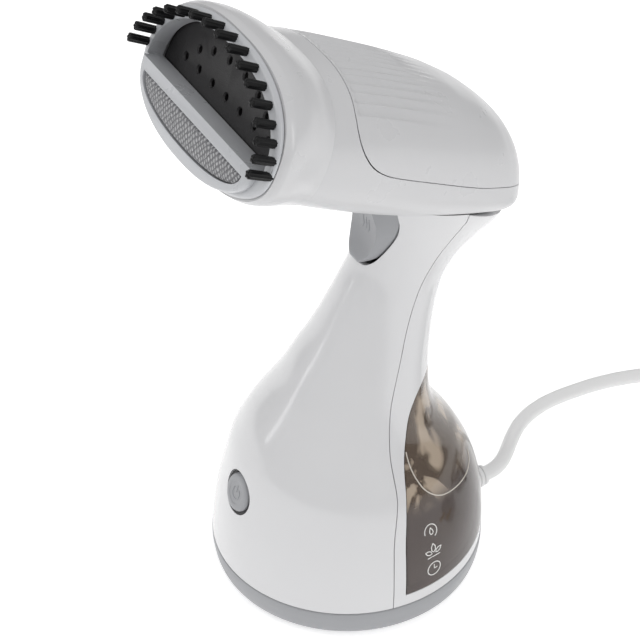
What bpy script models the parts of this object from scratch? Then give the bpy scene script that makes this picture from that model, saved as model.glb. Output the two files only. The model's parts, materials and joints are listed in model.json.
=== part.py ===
"""Handheld garment steamer: body on a round foot, water tank at the back, tilted steam head.

Blender 4.5, metres, +Z up.  The front faces -Y, X is lateral, and the origin is on the table
under the middle of the foot.  Sizes below are in millimetres; build() scales them to metres.
Points on the head are given as (x, s, v): s runs back from the front of the head along its
tilted axis, v runs up across it.
"""
import math

import bmesh
import bpy
from mathutils import Matrix, Vector

for leftover in list(bpy.data.objects):
    bpy.data.objects.remove(leftover, do_unlink=True)

# ---------------------------------------------------------------- driving dimensions (mm)
MM = 0.001
GAP = 0.35                      # clearance between neighbouring pieces
FOOT_R, FOOT_H = 55.8, 14.0     # grey foot
SHELL_T = 2.4                   # wall of the white shells
HEAD_Y, HEAD_Z = -57.1, 229.8   # front of the head, on the plane of symmetry
HEAD_TILT = math.radians(26.0)  # the head looks up by this much
SEAM_V = 14.0                   # height of the top cover's parting line on the head
RING_S = (5.0, 28.6)            # front ring, from and to
BUTTON_Z, BUTTON_R = 49.5, 7.8
BUTTON_TILT = math.radians(20.0)
TRIGGER_PIVOT = (17.4, 168.2)   # y, z
TRIGGER_HALF = (8.2, 13.2)      # the lever's half width in front and behind
TUFTS, TUFT_LEN, TUFT_R = 17, 10.4, 1.35
TRACK_A, TRACK_B = 47.0, 25.8   # half axes of the arc that the tufts stand on
BAR_V = (-1.7, -6.0)            # upper and lower edge of the attachment's crossbar
CORD_D, GLAND_Z = 6.6, 8.4      # mains cord, and the height at which it leaves the foot
PUMP_Y = -19.0                  # the upright pump stands in front of the tank
TANK_T = 2.0                    # wall of the water tank
VALVE_X, VALVE_Z = 18.0, 27.0   # the tank's outlet valve
FILL_AT, FILL_INTO = Vector((0, 1.65, 59.5)), Vector((0, 0.978, -0.207))
SCREW_RING, PAD_RING = 40.0, 43.0
BACK_SCREWS = (112.0, 136.0)    # heights of the screws in the back of the neck

# Body sections from the foot up: height, centre y, tilt, half width, half depth.
BODY = [
    (14.4, 0.0, 0, 55.6, 55.6), (24, 0.6, 0, 55.1, 55.1), (36, 1.1, 0, 53.5, 53.6),
    (48, 0.9, 0, 50.3, 50.6), (60, -0.6, 0, 45.6, 46.0), (68, -1.8, 0, 40.9, 41.4),
    (76, -2.0, 0, 36.2, 36.7), (84, 0.2, 0, 32.2, 32.6), (91, 2.8, 0, 29.2, 29.8),
    (100, 6.2, 2, 26.1, 26.8), (109, 10.0, 4, 23.4, 23.8), (120, 14.2, 6, 20.6, 21.4),
    (130, 18.2, 8, 18.8, 19.8), (139, 22.3, 10, 18.2, 19.1), (149, 27.2, 14, 19.4, 21.0),
    (158, 31.4, 19, 22.6, 24.6), (165.5, 33.4, 23, 26.4, 28.4), (171, 34.2, 26, 29.0, 30.6),
    (177, 34.4, 26, 30.8, 31.4), (184, 34.0, 26, 31.2, 31.2),
]
# Head sections from the front back: s, half width, height above and below the axis.
HEAD = [
    (29.0, 41.6, 27.0, 22.0), (38, 41.5, 28.2, 22.1), (48, 41.0, 29.0, 22.2),
    (60, 39.9, 29.3, 22.2), (74, 38.5, 29.2, 21.6), (88, 37.0, 28.5, 20.0),
    (101, 35.6, 27.4, 17.6), (112, 34.0, 26.2, 15.0), (120, 32.0, 24.6, 12.8),
    (125.5, 28.6, 22.2, 10.8), (129.5, 22.5, 17.8, 8.2), (131.9, 12.5, 10.0, 4.6),
]
# Parting line between the front shell and the rear frame, as (y, z) in side view.
SEAM = [
    (-9.2, 10), (-9.0, 16), (-7.2, 42), (-2.4, 61), (-0.8, 76), (3.0, 91), (6.6, 100),
    (10.4, 109), (14.4, 120), (18.4, 130), (22.4, 139), (27.4, 149), (31.4, 158), (33.6, 166),
    (34.4, 172), (34.4, 210),
]
# Front edge of the tank window in the rear frame, from the foot up to the tip on the neck.
WINDOW = [
    (-3.6, 19.3), (-2.4, 40), (-0.3, 52), (1.6, 61), (4.2, 71), (8.0, 80), (11.0, 86),
    (14.8, 90.4), (19.6, 93.8), (26.0, 96.4), (33.5, 98.0),
]

# ---------------------------------------------------------------- small helpers
COS, SIN = math.cos(HEAD_TILT), math.sin(HEAD_TILT)


def head_point(x, s, v):
    """A point given on the head, as world millimetres."""
    return (x, HEAD_Y + s * COS + v * SIN, HEAD_Z - s * SIN + v * COS)


HEAD_AXIS = Vector((0, COS, -SIN))      # pointing back along the head
HEAD_UP = Vector((0, SIN, COS))
MATERIALS = {}


def material(name, colour, roughness, metallic=0.0, alpha=1.0):
    """One Principled material for each kind of finish."""
    if name not in MATERIALS:
        mat = bpy.data.materials.new(name)
        mat.use_nodes = True
        shader = mat.node_tree.nodes["Principled BSDF"]
        shader.inputs["Base Color"].default_value = (*colour, 1.0)
        shader.inputs["Roughness"].default_value = roughness
        shader.inputs["Metallic"].default_value = metallic
        shader.inputs["Alpha"].default_value = alpha
        mat.diffuse_color = (*colour, alpha)
        MATERIALS[name] = mat
    return MATERIALS[name]


WHITE = material("white_shell", (0.86, 0.86, 0.87), 0.18)
HEAD_WHITE = material("white_head", (0.84, 0.84, 0.85), 0.28)
GREY = material("grey_plastic", (0.47, 0.48, 0.50), 0.35)
LIGHT_GREY = material("frame_grey", (0.66, 0.67, 0.69), 0.32)
SMOKE = material("smoked_tank", (0.16, 0.11, 0.08), 0.08, alpha=0.45)
BLACK_PLATE = material("coated_plate", (0.02, 0.02, 0.022), 0.35, 0.4)
BLACK = material("black_plastic", (0.015, 0.015, 0.016), 0.4)
BRISTLE = material("bristle_nylon", (0.012, 0.012, 0.013), 0.35)
PAD = material("lint_fabric", (0.52, 0.53, 0.54), 0.9)
CAST = material("cast_aluminium", (0.70, 0.71, 0.72), 0.4, 1.0)
STEEL = material("steel", (0.62, 0.62, 0.64), 0.3, 1.0)
BRASS = material("brass", (0.75, 0.58, 0.28), 0.3, 1.0)
COPPER = material("copper_winding", (0.72, 0.38, 0.2), 0.35, 1.0)
RUBBER = material("black_rubber", (0.03, 0.03, 0.03), 0.75)
SILICONE = material("silicone", (0.80, 0.80, 0.78), 0.55)
INNER = material("inner_plastic", (0.70, 0.71, 0.72), 0.5)
BOARD = material("circuit_board", (0.03, 0.22, 0.09), 0.45)
SHEATH = material("cord_sheath", (0.85, 0.85, 0.85), 0.4)


def place(name, mesh, mat, origin=(0, 0, 0)):
    """Link a mesh made in world millimetres, with its object's origin at the given point."""
    shift = Vector(origin)
    mesh.transform(Matrix.Scale(MM, 4) @ Matrix.Translation(-shift))
    mesh.materials.clear()
    mesh.materials.append(mat)
    for face in mesh.polygons:
        face.material_index = 0
    obj = bpy.data.objects.new(name, mesh)
    obj.location = shift * MM
    bpy.context.collection.objects.link(obj)
    return obj


def face_out(bm):
    """Turn every face outward."""
    bmesh.ops.recalc_face_normals(bm, faces=bm.faces)
    if bm.calc_volume(signed=True) < 0:
        bmesh.ops.reverse_faces(bm, faces=bm.faces)


def to_mesh(name, verts, faces):
    """Mesh in millimetres with its normals pointing out."""
    mesh = bpy.data.meshes.new(name)
    mesh.from_pydata([tuple(v) for v in verts], [], faces)
    bm = bmesh.new()
    bm.from_mesh(mesh)
    face_out(bm)
    bm.to_mesh(mesh)
    bm.free()
    return mesh


def rings_mesh(name, rings, closed=False, caps=True):
    """Skin a list of equal rings; closed joins the last ring to the first, as a hoop."""
    count, verts, faces = len(rings[0]), [p for ring in rings for p in ring], []
    spans = len(rings) if closed else len(rings) - 1
    for i in range(spans):
        a, b = i * count, ((i + 1) % len(rings)) * count
        for j in range(count):
            k = (j + 1) % count
            faces.append((a + j, a + k, b + k, b + j))
    if caps and not closed:
        faces.append(tuple(range(count))[::-1])
        faces.append(tuple(range((len(rings) - 1) * count, len(rings) * count)))
    return to_mesh(name, verts, faces)


def basis(axis, up=(0, 0, 1)):
    """Two unit vectors across an axis."""
    axis = Vector(axis).normalized()
    side = Vector(up).cross(axis)
    if side.length < 1e-6:
        side = Vector((1, 0, 0))
    side.normalize()
    return side, axis.cross(side)


def turned(name, profile, base, axis, steps=24, flat=1.0):
    """Turn a closed outline of (radius, distance along the axis) round an axis.

    flat squashes the turn across the axis's second side, for oval pieces.
    """
    base, axis = Vector(base), Vector(axis).normalized()
    side, up = basis(axis)
    solid = min(r for r, _ in profile) < 1e-6
    verts, faces, index = [], [], []
    for r, h in profile:
        if r < 1e-6:
            index.append([len(verts)] * steps)
            verts.append(base + axis * h)
            continue
        index.append(list(range(len(verts), len(verts) + steps)))
        for j in range(steps):
            t = 2 * math.pi * j / steps
            verts.append(base + axis * h + side * (r * math.cos(t)) + up * (r * flat * math.sin(t)))
    pairs = len(profile) - 1 if solid else len(profile)
    for i in range(pairs):
        a, b = index[i], index[(i + 1) % len(profile)]
        for j in range(steps):
            k = (j + 1) % steps
            face = [a[j], a[k], b[k], b[j]]
            face = [v for n, v in enumerate(face) if v not in face[:n]]
            if len(face) > 2:
                faces.append(tuple(face))
    return to_mesh(name, verts, faces)


def rod(name, base, axis, radius, length, steps=16, edge=0.0):
    """A plain round bar, with small chamfers when edge is given."""
    if edge:
        outline = [(0, 0), (radius - edge, 0), (radius, edge), (radius, length - edge),
                   (radius - edge, length), (0, length)]
    else:
        outline = [(0, 0), (radius, 0), (radius, length), (0, length)]
    return turned(name, outline, base, axis, steps)


def ring_bar(name, base, axis, inner, outer, length, steps=24):
    """A hoop with a square section."""
    return turned(name, [(inner, 0), (outer, 0), (outer, length), (inner, length)],
                  base, axis, steps)


def block(name, centre, size, turn=None, edge=0.0):
    """A box, turned by a matrix about its centre, with its edges eased."""
    bm = bmesh.new()
    bmesh.ops.create_cube(bm, size=1.0)
    bmesh.ops.scale(bm, vec=Vector(size), verts=bm.verts)
    if edge:
        bmesh.ops.bevel(bm, geom=list(bm.edges), offset=edge, segments=1, affect='EDGES')
    if turn:
        bmesh.ops.transform(bm, matrix=turn, verts=bm.verts)
    bmesh.ops.translate(bm, vec=Vector(centre), verts=bm.verts)
    mesh = bpy.data.meshes.new(name)
    face_out(bm)
    bm.to_mesh(mesh)
    bm.free()
    return mesh


def slab(name, outline, low, high, point=lambda a, b, h: (h, a, b)):
    """Push an outline of (a, b) pairs from low to high; point turns them into world places."""
    rings = [[point(a, b, h) for a, b in outline] for h in (low, high)]
    return rings_mesh(name, rings)


def head_slab(name, outline, s0, s1):
    """An outline of (x, v) on the head, pushed along the head's axis."""
    return slab(name, outline, s0, s1, point=lambda x, v, s: head_point(x, s, v))


def half_oval(a, b, steps, top=True, base=0.0, bulge=2.0):
    """Points of the upper or lower half of an oval, from its +X end to its -X end."""
    sign, power, points = (1 if top else -1), 2.0 / bulge, []
    for j in range(steps + 1):
        t = math.pi * j / steps
        c, s = math.cos(t), math.sin(t)
        x = a * math.copysign(abs(c) ** power, c)
        points.append((x, base + sign * b * abs(s) ** power))
    return points


def oval(a, up, down, steps, bulge=2.3):
    """A closed outline with different heights above and below its axis."""
    upper = half_oval(a, up, steps, True, 0.0, bulge)
    lower = half_oval(a, down, steps, False, 0.0, bulge)
    return upper + lower[-2:0:-1]


def carve(mesh, cutters, operation='DIFFERENCE'):
    """Exact boolean of a mesh with a list of meshes, all in millimetres."""
    target = bpy.data.objects.new("target", mesh)
    bpy.context.collection.objects.link(target)
    tools = []
    for cutter in cutters:
        tool = bpy.data.objects.new("tool", cutter)
        bpy.context.collection.objects.link(tool)
        mod = target.modifiers.new("cut", 'BOOLEAN')
        mod.operation, mod.solver, mod.object = operation, 'EXACT', tool
        tools.append(tool)
    bpy.context.view_layer.update()
    graph = bpy.context.evaluated_depsgraph_get()
    result = bpy.data.meshes.new_from_object(target.evaluated_get(graph))
    for obj in [target] + tools:
        bpy.data.objects.remove(obj, do_unlink=True)
    bm = bmesh.new()
    bm.from_mesh(result)
    bmesh.ops.remove_doubles(bm, verts=bm.verts, dist=0.002)
    bmesh.ops.dissolve_degenerate(bm, edges=bm.edges, dist=0.002)
    face_out(bm)
    bm.to_mesh(result)
    bm.free()
    return result


def biggest_only(mesh):
    """Keep the largest connected piece, dropping crumbs that a cut leaves behind."""
    bm = bmesh.new()
    bm.from_mesh(mesh)
    left, groups = set(bm.verts), []
    while left:
        stack, group = [left.pop()], []
        while stack:
            vert = stack.pop()
            group.append(vert)
            for edge in vert.link_edges:
                other = edge.other_vert(vert)
                if other in left:
                    left.remove(other)
                    stack.append(other)
        groups.append(group)
    groups.sort(key=len, reverse=True)
    for group in groups[1:]:
        bmesh.ops.delete(bm, geom=group, context='VERTS')
    bm.to_mesh(mesh)
    bm.free()
    return mesh


def smooth_path(points, per_span=6):
    """A Catmull-Rom curve through hand-placed points."""
    pts = [Vector(p) for p in points]
    pts = [pts[0] * 2 - pts[1]] + pts + [pts[-1] * 2 - pts[-2]]
    out = []
    for i in range(1, len(pts) - 2):
        p0, p1, p2, p3 = pts[i - 1:i + 3]
        for j in range(per_span):
            t = j / per_span
            out.append(0.5 * ((2 * p1) + (p2 - p0) * t + (2 * p0 - 5 * p1 + 4 * p2 - p3) * t * t
                              + (3 * p1 - p0 - 3 * p2 + p3) * t ** 3))
    out.append(pts[-2])
    return out


def pipe(name, points, radius, sides=10, bore=0.0, per_span=5):
    """A round pipe or wire along hand-placed points, with a bore when one is given."""
    path = smooth_path(points, per_span)
    frames, side = [], None
    for i, here in enumerate(path):
        ahead = path[min(i + 1, len(path) - 1)] - path[max(i - 1, 0)]
        ahead.normalize()
        side = basis(ahead)[0] if side is None else (side - ahead * side.dot(ahead)).normalized()
        frames.append((here, side, ahead.cross(side)))

    def tube(r):
        return [[c + a * (r * math.cos(2 * math.pi * j / sides)) +
                 b * (r * math.sin(2 * math.pi * j / sides)) for j in range(sides)]
                for c, a, b in frames]
    if not bore:
        return rings_mesh(name, tube(radius))
    return rings_mesh(name, tube(radius) + tube(bore)[::-1], closed=True)


# ---------------------------------------------------------------- shared surfaces
def body_rings(inset=0.0, steps=34):
    """Rings of the body, drawn in from its outside by an inset."""
    rings = []
    for z, y, tilt, a, b in BODY:
        c, s = math.cos(math.radians(tilt)), math.sin(math.radians(tilt))
        ring = []
        for j in range(steps):
            t = 2 * math.pi * j / steps
            d = (b - inset) * math.sin(t)
            ring.append(((a - inset) * math.cos(t), y + d * c, z - d * s))
        rings.append(ring)
    return rings


def body_solid(inset=0.0):
    return rings_mesh("body", body_rings(inset))


def body_tube():
    """The hollow skin of the body, open at both ends."""
    return rings_mesh("skin", body_rings(0) + body_rings(SHELL_T)[::-1], closed=True)


# Places across the head's top, as shares of its half width; the first ten carry the ribs.
TOP_T = [0.08 * k for k in range(10)] + [0.79, 0.86, 0.925, 0.97, 0.993]
RIB_DEPTH, RIB_START, RIB_END = 0.75, 34.0, 86.0


def rib(s, index):
    """How deep the top cover's groove is at s, for the sample with this index across."""
    if index % 2 == 0 or index > 9:
        return 0.0
    start = RIB_START + 15.0 * TOP_T[index]
    rise = min(1.0, max(0.0, (s - start) / 3.0))
    fade = min(1.0, max(0.0, (RIB_END - s) / 26.0))
    return RIB_DEPTH * rise * fade


def head_ring(s, a, up, down, inset=0.0, ribs=False, bulge=2.45):
    """One ring of the head; the back of the head leans to stand upright."""
    a, up, down = a - inset, up - inset, down - inset
    lean = 0.42 * min(1.0, max(0.0, (s - 92.0) / 28.0))
    ring = []
    for side, order in ((1, TOP_T[::-1]), (-1, TOP_T[1:])):
        for t in order:
            index = TOP_T.index(t)
            v = up * (1 - t ** bulge) ** (1 / bulge) - (rib(s, index) if ribs else 0.0)
            ring.append((side * a * t, v))
    for j in range(1, 12):
        t = math.pi * j / 12
        c, q = math.cos(t), math.sin(t)
        ring.append((-a * math.copysign(abs(c) ** (2 / bulge), c), -down * q ** (2 / bulge)))
    return [head_point(x, s - lean * v, v) for x, v in ring]


def head_table():
    """Head sections with extra ones between, so that the ribs start and fade smoothly."""
    sections = []
    for (s0, *p), (s1, *q) in zip(HEAD, HEAD[1:]):
        parts = 2 if s0 < 60 else 1
        for k in range(parts):
            f = k / parts
            sections.append((s0 + (s1 - s0) * f, *[m + (n - m) * f for m, n in zip(p, q)]))
    return sections + [HEAD[-1]]


def head_outer(inset=0.0, ribs=True, table=None):
    return rings_mesh("head", [head_ring(*row, inset=inset, ribs=ribs)
                               for row in (table or head_table())])


def head_inner():
    """The hollow of the head, open at its front."""
    rows = [row for row in HEAD if row[0] < 124]
    rings = [head_ring(*row, inset=SHELL_T) for row in rows]
    s, a, up, down = rows[0]
    rings[0] = head_ring(s - 2.0, a, up, down, inset=SHELL_T)
    return rings_mesh("hollow", rings)


def shift_line(line, dy):
    return [(y + dy, z) for y, z in line]


def side_slab(name, outline):
    """An outline of (y, z) in side view, pushed both ways along X past the body."""
    return slab(name, outline, -80.0, 80.0, point=lambda y, z, x: (x, y, z))


# ---------------------------------------------------------------- foot
def foot():
    r, h = FOOT_R, FOOT_H
    cup = turned("foot", [
        (0, 0.8), (50.4, 0.8), (52.8, 1.6), (54.4, 3.4), (55.2, 6.0), (r, 10.5), (r, h),
        (r - 2.6, h), (r - 2.6, 5.6), (50.4, 3.8), (0, 3.8)], (0, 0, 0), (0, 0, 1), 44)
    cutters = [rod("bore", (0, 48, GLAND_Z), (0, 1, 0), 4.6, 20, 16),
               rod("recess", (0, 43.6, GLAND_Z), (0, 1, 0), 5.8, 6.4, 16)]
    for x, y in SCREW_SPOTS:
        cutters.append(rod("sink", (x, y, -1), (0, 0, 1), 3.6, 2.9, 12))
        cutters.append(rod("hole", (x, y, 1), (0, 0, 1), 1.9, 5, 8))
    for x, y in PAD_SPOTS:
        cutters.append(rod("seat", (x, y, -1), (0, 0, 1), 6.3, 2.9, 16))
    place("base_shell", carve(cup, cutters), GREY)
    for n, (x, y) in enumerate(PAD_SPOTS, 1):
        place(f"foot_pad_{n}", rod("pad", (x, y, 0), (0, 0, 1), 5.9, 1.6, 16), RUBBER)
    for n, (x, y) in enumerate(SCREW_SPOTS, 1):
        place(f"base_screw_{n}", screw("s", (x, y, 1.7), (0, 0, -1), 3.2, 1.1, 1.4, 9.0), STEEL)


def spots(radius, count, start):
    return [(radius * math.cos(math.radians(start + 360 * k / count)),
             radius * math.sin(math.radians(start + 360 * k / count))) for k in range(count)]


PAD_SPOTS = spots(PAD_RING, 3, 60)
SCREW_SPOTS = spots(SCREW_RING, 3, 0)


def screw(name, seat, outward, head_r, head_h, shank_r, shank):
    """A pan-head screw; seat is where the shank meets the head."""
    outline = [(0, head_h), (head_r * 0.7, head_h), (head_r, head_h * 0.55), (head_r, 0),
               (shank_r, 0), (shank_r, -shank + 1), (0, -shank)]
    return turned(name, outline, seat, outward, 10)


# ---------------------------------------------------------------- body shells and tank
def shells():
    front_cut = side_slab("f", SEAM + [(-80, 210), (-80, 10)])
    rear_line = shift_line(SEAM, GAP)
    rear_cut = side_slab("r", rear_line + [(90, 210), (90, 10)])
    window = side_slab("w", WINDOW + [(90, 98), (90, 19.3)])
    head_room = head_outer(-GAP, ribs=False, table=HEAD)
    slot = trigger_body(0.9, 3.6)
    y0, z0 = TRIGGER_PIVOT
    sockets = [rod("socket", (side * 9.0, y0, z0), (side, 0, 0), 1.8, 8.4, 12)
               for side in (-1, 1)]
    eye = rod("eye", button_point(-12), button_axis(), BUTTON_R + 1.55, 24, 26)
    front = carve(body_tube(), [front_cut], 'INTERSECT')
    slot = carve(slot, sockets, 'UNION')
    front = carve(front, [head_room, slot, eye])
    place("front_shell", biggest_only(front), WHITE)
    rear = carve(body_tube(), [rear_cut], 'INTERSECT')
    holes = [rod("h", neck_back(z, -8), neck_out(z), 2.2, 20, 10) for z in BACK_SCREWS]
    rear = carve(rear, [window, head_room] + holes)
    place("rear_frame", biggest_only(rear), WHITE)
    for n, z in enumerate(BACK_SCREWS, 1):
        place(f"back_screw_{n}", screw("s", neck_back(z, -1.6), neck_out(z), 1.8, 1.0, 1.1, 7.0),
              STEEL)


def neck_back(z, out):
    """The middle of the neck's back at a height, moved out along its normal."""
    for (z0, y0, t0, _, b0), (z1, y1, t1, _, b1) in zip(BODY, BODY[1:]):
        if z0 <= z <= z1:
            f = (z - z0) / (z1 - z0)
            return Vector((0, y0 + (y1 - y0) * f + b0 + (b1 - b0) * f, z)) + neck_out(z) * out
    raise ValueError(z)


def neck_out(z):
    """Straight out of the neck's back at a height."""
    lean = math.radians(4 + 16 * (z - 105) / 40)
    return Vector((0, math.cos(lean), -math.sin(lean)))


def tank():
    outer, inner = body_solid(), body_solid(TANK_T)
    low = WINDOW[0][1] + GAP
    room = shift_line(WINDOW[:-1], GAP)
    outside = [(room[0][0], low)] + room[1:] + [(33.5, 97.4), (90, 97.4), (90, low)]
    low += TANK_T
    hollow = shift_line(WINDOW[:-2], GAP + TANK_T)
    inside = [(hollow[0][0], low)] + hollow[1:] + [(30.0, 92.6), (90, 92.6), (90, low)]
    vessel = carve(outer, [side_slab("o", outside)], 'INTERSECT')
    water_room = carve(inner, [side_slab("i", inside)], 'INTERSECT')
    port = rod("p", FILL_AT - FILL_INTO * 6, FILL_INTO, 7.9, 16, 18)
    outlet = rod("o", (VALVE_X, -12, VALVE_Z), (0, 1, 0), 3.4, 20, 12)
    place("water_tank", biggest_only(carve(vessel, [water_room, port, outlet])), SMOKE)
    place("tank_cap", turned("cap", [(0, 5.0), (7.0, 5.0), (7.5, 3.8), (7.5, -0.8),
                                     (9.0, -0.8), (9.0, -2.4), (0, -2.4)],
                             FILL_AT, FILL_INTO, 20), SILICONE)
    place("tank_valve", turned("valve", [
        (1.4, 6.0), (3.0, 6.0), (3.0, -1.4), (5.6, -1.4), (5.6, -2.8), (1.4, -2.8)],
        (VALVE_X, -2.2, VALVE_Z), (0, 1, 0), 12), RUBBER)
    place("pickup_tube", pipe("pick", [
        (VALVE_X, 4.4, VALVE_Z), (17, 14, 26.5), (13, 26, 25.4), (6, 36, 24.6)], 2.2, 8, 1.2, 2),
        SILICONE)
    place("tank_tray", slab("tray", arc_points(52.6, -4, 184, 20), 16.4, 19.0,
                            point=lambda x, y, z: (x, y, z)), INNER)


def arc_points(radius, start, stop, steps):
    return [(radius * math.cos(math.radians(start + (stop - start) * k / steps)),
             radius * math.sin(math.radians(start + (stop - start) * k / steps)))
            for k in range(steps + 1)]


# ---------------------------------------------------------------- power button
def button_axis():
    """Straight out of the button, which leans back with the shell."""
    return Vector((0, -math.cos(BUTTON_TILT), math.sin(BUTTON_TILT)))


def button_point(out):
    """A point on the button's axis, out from the shell's outside."""
    return Vector((0, -48.6, BUTTON_Z)) + button_axis() * out


def power_button():
    axis = button_axis()
    place("power_button", turned("cap", [
        (0, 0.55), (BUTTON_R - 2.2, 0.45), (BUTTON_R - 0.6, 0.1), (BUTTON_R, -0.7),
        (BUTTON_R, -3.6), (2.2, -3.6), (2.2, -9.9), (0, -9.9)],
        button_point(0.6), axis, 24), GREY, button_point(0.6))
    place("button_ring", turned("ring", [
        (BUTTON_R + 0.3, -0.5), (BUTTON_R + 1.2, -0.5), (BUTTON_R + 1.2, -4.5),
        (BUTTON_R + 3.2, -4.5), (BUTTON_R + 3.2, -5.6), (BUTTON_R + 0.3, -5.6)],
        button_point(0.2), axis, 24), BLACK)
    place("button_spring", coil("spring", button_point(-13.2), axis, 3.9, 0.42, 8.8, 4), STEEL)
    turn = Matrix.Rotation(-BUTTON_TILT, 4, 'X')
    up = Vector((0, math.sin(BUTTON_TILT), math.cos(BUTTON_TILT)))
    place("control_board", block("board", button_point(-14.6), (26, 1.6, 32), turn), BOARD)
    place("button_switch", block("switch", button_point(-11.8), (4.4, 3.2, 4.4), turn), BLACK)
    place("relay", block("relay", button_point(-11.0) + up * 10.5 + Vector((6.5, 0, 0)),
                         (10, 5, 8), turn, 0.4), BLACK)


def coil(name, base, axis, radius, wire, length, turns):
    """A helical spring as a wire along its axis."""
    side, up = basis(axis)
    base, axis = Vector(base), Vector(axis).normalized()
    steps = turns * 7
    points = [base + axis * (length * k / steps) +
              side * (radius * math.cos(2 * math.pi * k / 7)) +
              up * (radius * math.sin(2 * math.pi * k / 7)) for k in range(steps + 1)]
    return pipe(name, points, wire, 4, per_span=1)


# ---------------------------------------------------------------- trigger
TRIGGER_FACE = [(3.0, 174.0), (5.4, 168.6), (6.9, 163.2), (6.8, 158.4), (5.0, 153.8),
                (2.2, 149.8), (0.8, 147.6), (1.4, 146.0)]
TRIGGER_BACK = [(4.6, 145.6), (8.6, 148.0), (11.8, 152.6), (14.2, 158.4), (19.4, 164.6),
                (20.6, 168.4), (18.0, 171.4), (9.0, 173.2)]


def trigger_body(grow=0.0, swing=0.0):
    """The finger lever, narrower in front; grow and swing make its opening in the shell."""
    outline = TRIGGER_FACE + TRIGGER_BACK
    count, front, rings = len(outline), len(TRIGGER_FACE), []
    for share, ease in ((-1.0, 1.3), (-0.86, 0.2), (-0.45, -0.5), (0.0, -0.8), (0.45, -0.5),
                        (0.86, 0.2), (1.0, 1.3)):
        ring = []
        for n, (y, z) in enumerate(outline):
            (ya, za), (yb, zb) = outline[n - 1], outline[(n + 1) % count]
            out = Vector((za - zb, yb - ya)).normalized() * -grow
            half = min(TRIGGER_HALF[1], TRIGGER_HALF[0] + 1.1 * (
                swing if n < front else y - 2.0 + swing))
            push = ease if n < front and not grow else 0.0
            back = swing if n >= front else 0.0
            ring.append((share * (half + grow), y + push + out.x + back, z + out.y - 0.3 * back))
        rings.append(ring)
    return rings_mesh("lever", rings)


def trigger():
    """Finger lever with a hollowed front, hinged near its top on a cross pin."""
    y0, z0 = TRIGGER_PIVOT
    lever = trigger_body()
    bore = rod("bore", (-20, y0, z0), (1, 0, 0), 1.85, 40, 12)
    lever = carve(lever, [bore])
    place("trigger", lever, GREY, (0, y0, z0))
    place("trigger_pin", rod("pin", (-16.9, y0, z0), (1, 0, 0), 1.5, 33.8, 12), STEEL)
    turn = Matrix.Rotation(math.radians(-20), 4, 'X')
    place("trigger_switch", block("switch", (5.0, 22.4, 150.0), (8, 7, 14), turn, 0.5), BLACK)
    place("trigger_spring", coil("spring", (-4.0, 16.2, 156.4), (0, 0.8, -0.6), 2.2, 0.4, 5.6, 4),
          STEEL)


# ---------------------------------------------------------------- head
def head_shells():
    passage = [(-15, 84), (15, 84), (15, 112), (-15, 112)]
    hole = slab("hole", passage, -30, -6, point=lambda x, s, v: head_point(x, s, v))
    upper = head_slab("up", [(-60, SEAM_V - GAP / 2), (60, SEAM_V - GAP / 2), (60, 60),
                             (-60, 60)], 0, 160)
    lower = head_slab("low", [(-60, SEAM_V + GAP / 2), (60, SEAM_V + GAP / 2), (60, -60),
                              (-60, -60)], 0, 160)
    skin = carve(head_outer(), [head_inner()])
    place("head_housing", biggest_only(carve(skin.copy(), [upper, hole])), HEAD_WHITE)
    place("top_cover", biggest_only(carve(skin, [lower])), HEAD_WHITE)
    rows = [(RING_S[0], 49.1, 28.9, 20.7), (7.0, 50.1, 29.9, 21.3), (9.0, 50.2, 30.4, 21.4),
            (14.0, 48.6, 30.7, 21.7), (20.0, 45.6, 29.7, 22.1), (25.0, 43.3, 28.3, 22.4),
            (RING_S[1], 42.2, 27.4, 22.5)]
    rings = [oval_ring(*row) for row in rows]
    inner = [oval_ring(s, a - 2.1, u - 2.1, d - 2.1) for s, a, u, d in rows[::3]]
    place("front_ring", rings_mesh("ring", rings + inner[::-1], closed=True), HEAD_WHITE)


def oval_ring(s, a, up, down, steps=16, bulge=2.45):
    return [head_point(x, s, v) for x, v in oval(a, up, down, steps, bulge)]


def steam_unit():
    """Aluminium steam chamber with its plate, heater and safety parts inside the head."""
    plate = oval(45.6, 25.6, 17.6, 16)
    body = rings_mesh("plate", [
        [head_point(x * k, s, v * k) for x, v in plate]
        for s, k in ((9.6, 0.98), (10.2, 1.0), (12.4, 1.0))])
    holes = [rod("h", head_point(x, 8, v), HEAD_AXIS, 1.3, 8, 8) for x, v in PLATE_HOLES]
    place("steam_plate", carve(body, holes), BLACK_PLATE)
    chamber = oval(31.5, 15.6, 14.4, 12)
    block_mesh = rings_mesh("chamber", [
        [head_point(x * k, s, v * k) for x, v in chamber]
        for s, k in ((16.0, 1.0), (18.0, 1.03), (52.0, 0.94), (56.0, 0.86))])
    place("steam_chamber", block_mesh, CAST)
    ring_out, ring_in = oval(34.2, 17.8, 16.4, 14), oval(30.4, 14.6, 13.4, 14)
    seal = [[head_point(x, s, v) for x, v in line]
            for line, s in ((ring_out, 12.8), (ring_out, 15.6), (ring_in, 15.6), (ring_in, 12.8))]
    place("plate_gasket", rings_mesh("seal", seal, closed=True), SILICONE)
    for n, x in enumerate((-16.0, 16.0), 1):
        place(f"heater_lead_{n}", rod("lead", head_point(x, 56.4, 4), HEAD_AXIS, 2.6, 12, 10),
              STEEL)
    place("thermostat", turned("stat", [(0, 0), (8.0, 0), (8.0, 4.0), (5.6, 6.4), (0, 6.4)],
                               head_point(0, 40, 16.6), HEAD_UP, 14), BLACK)
    place("thermal_fuse", rod("fuse", head_point(-9, 27.6, 18.8), (1, 0, 0), 2.2, 18, 8),
          BRASS)
    place("steam_inlet", turned("inlet", [(1.6, 0), (4.0, 0), (4.0, 3.5), (2.9, 3.5), (2.9, 12),
                                          (1.6, 12)], head_point(0, 56.4, -4), HEAD_AXIS, 10),
          BRASS)


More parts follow.
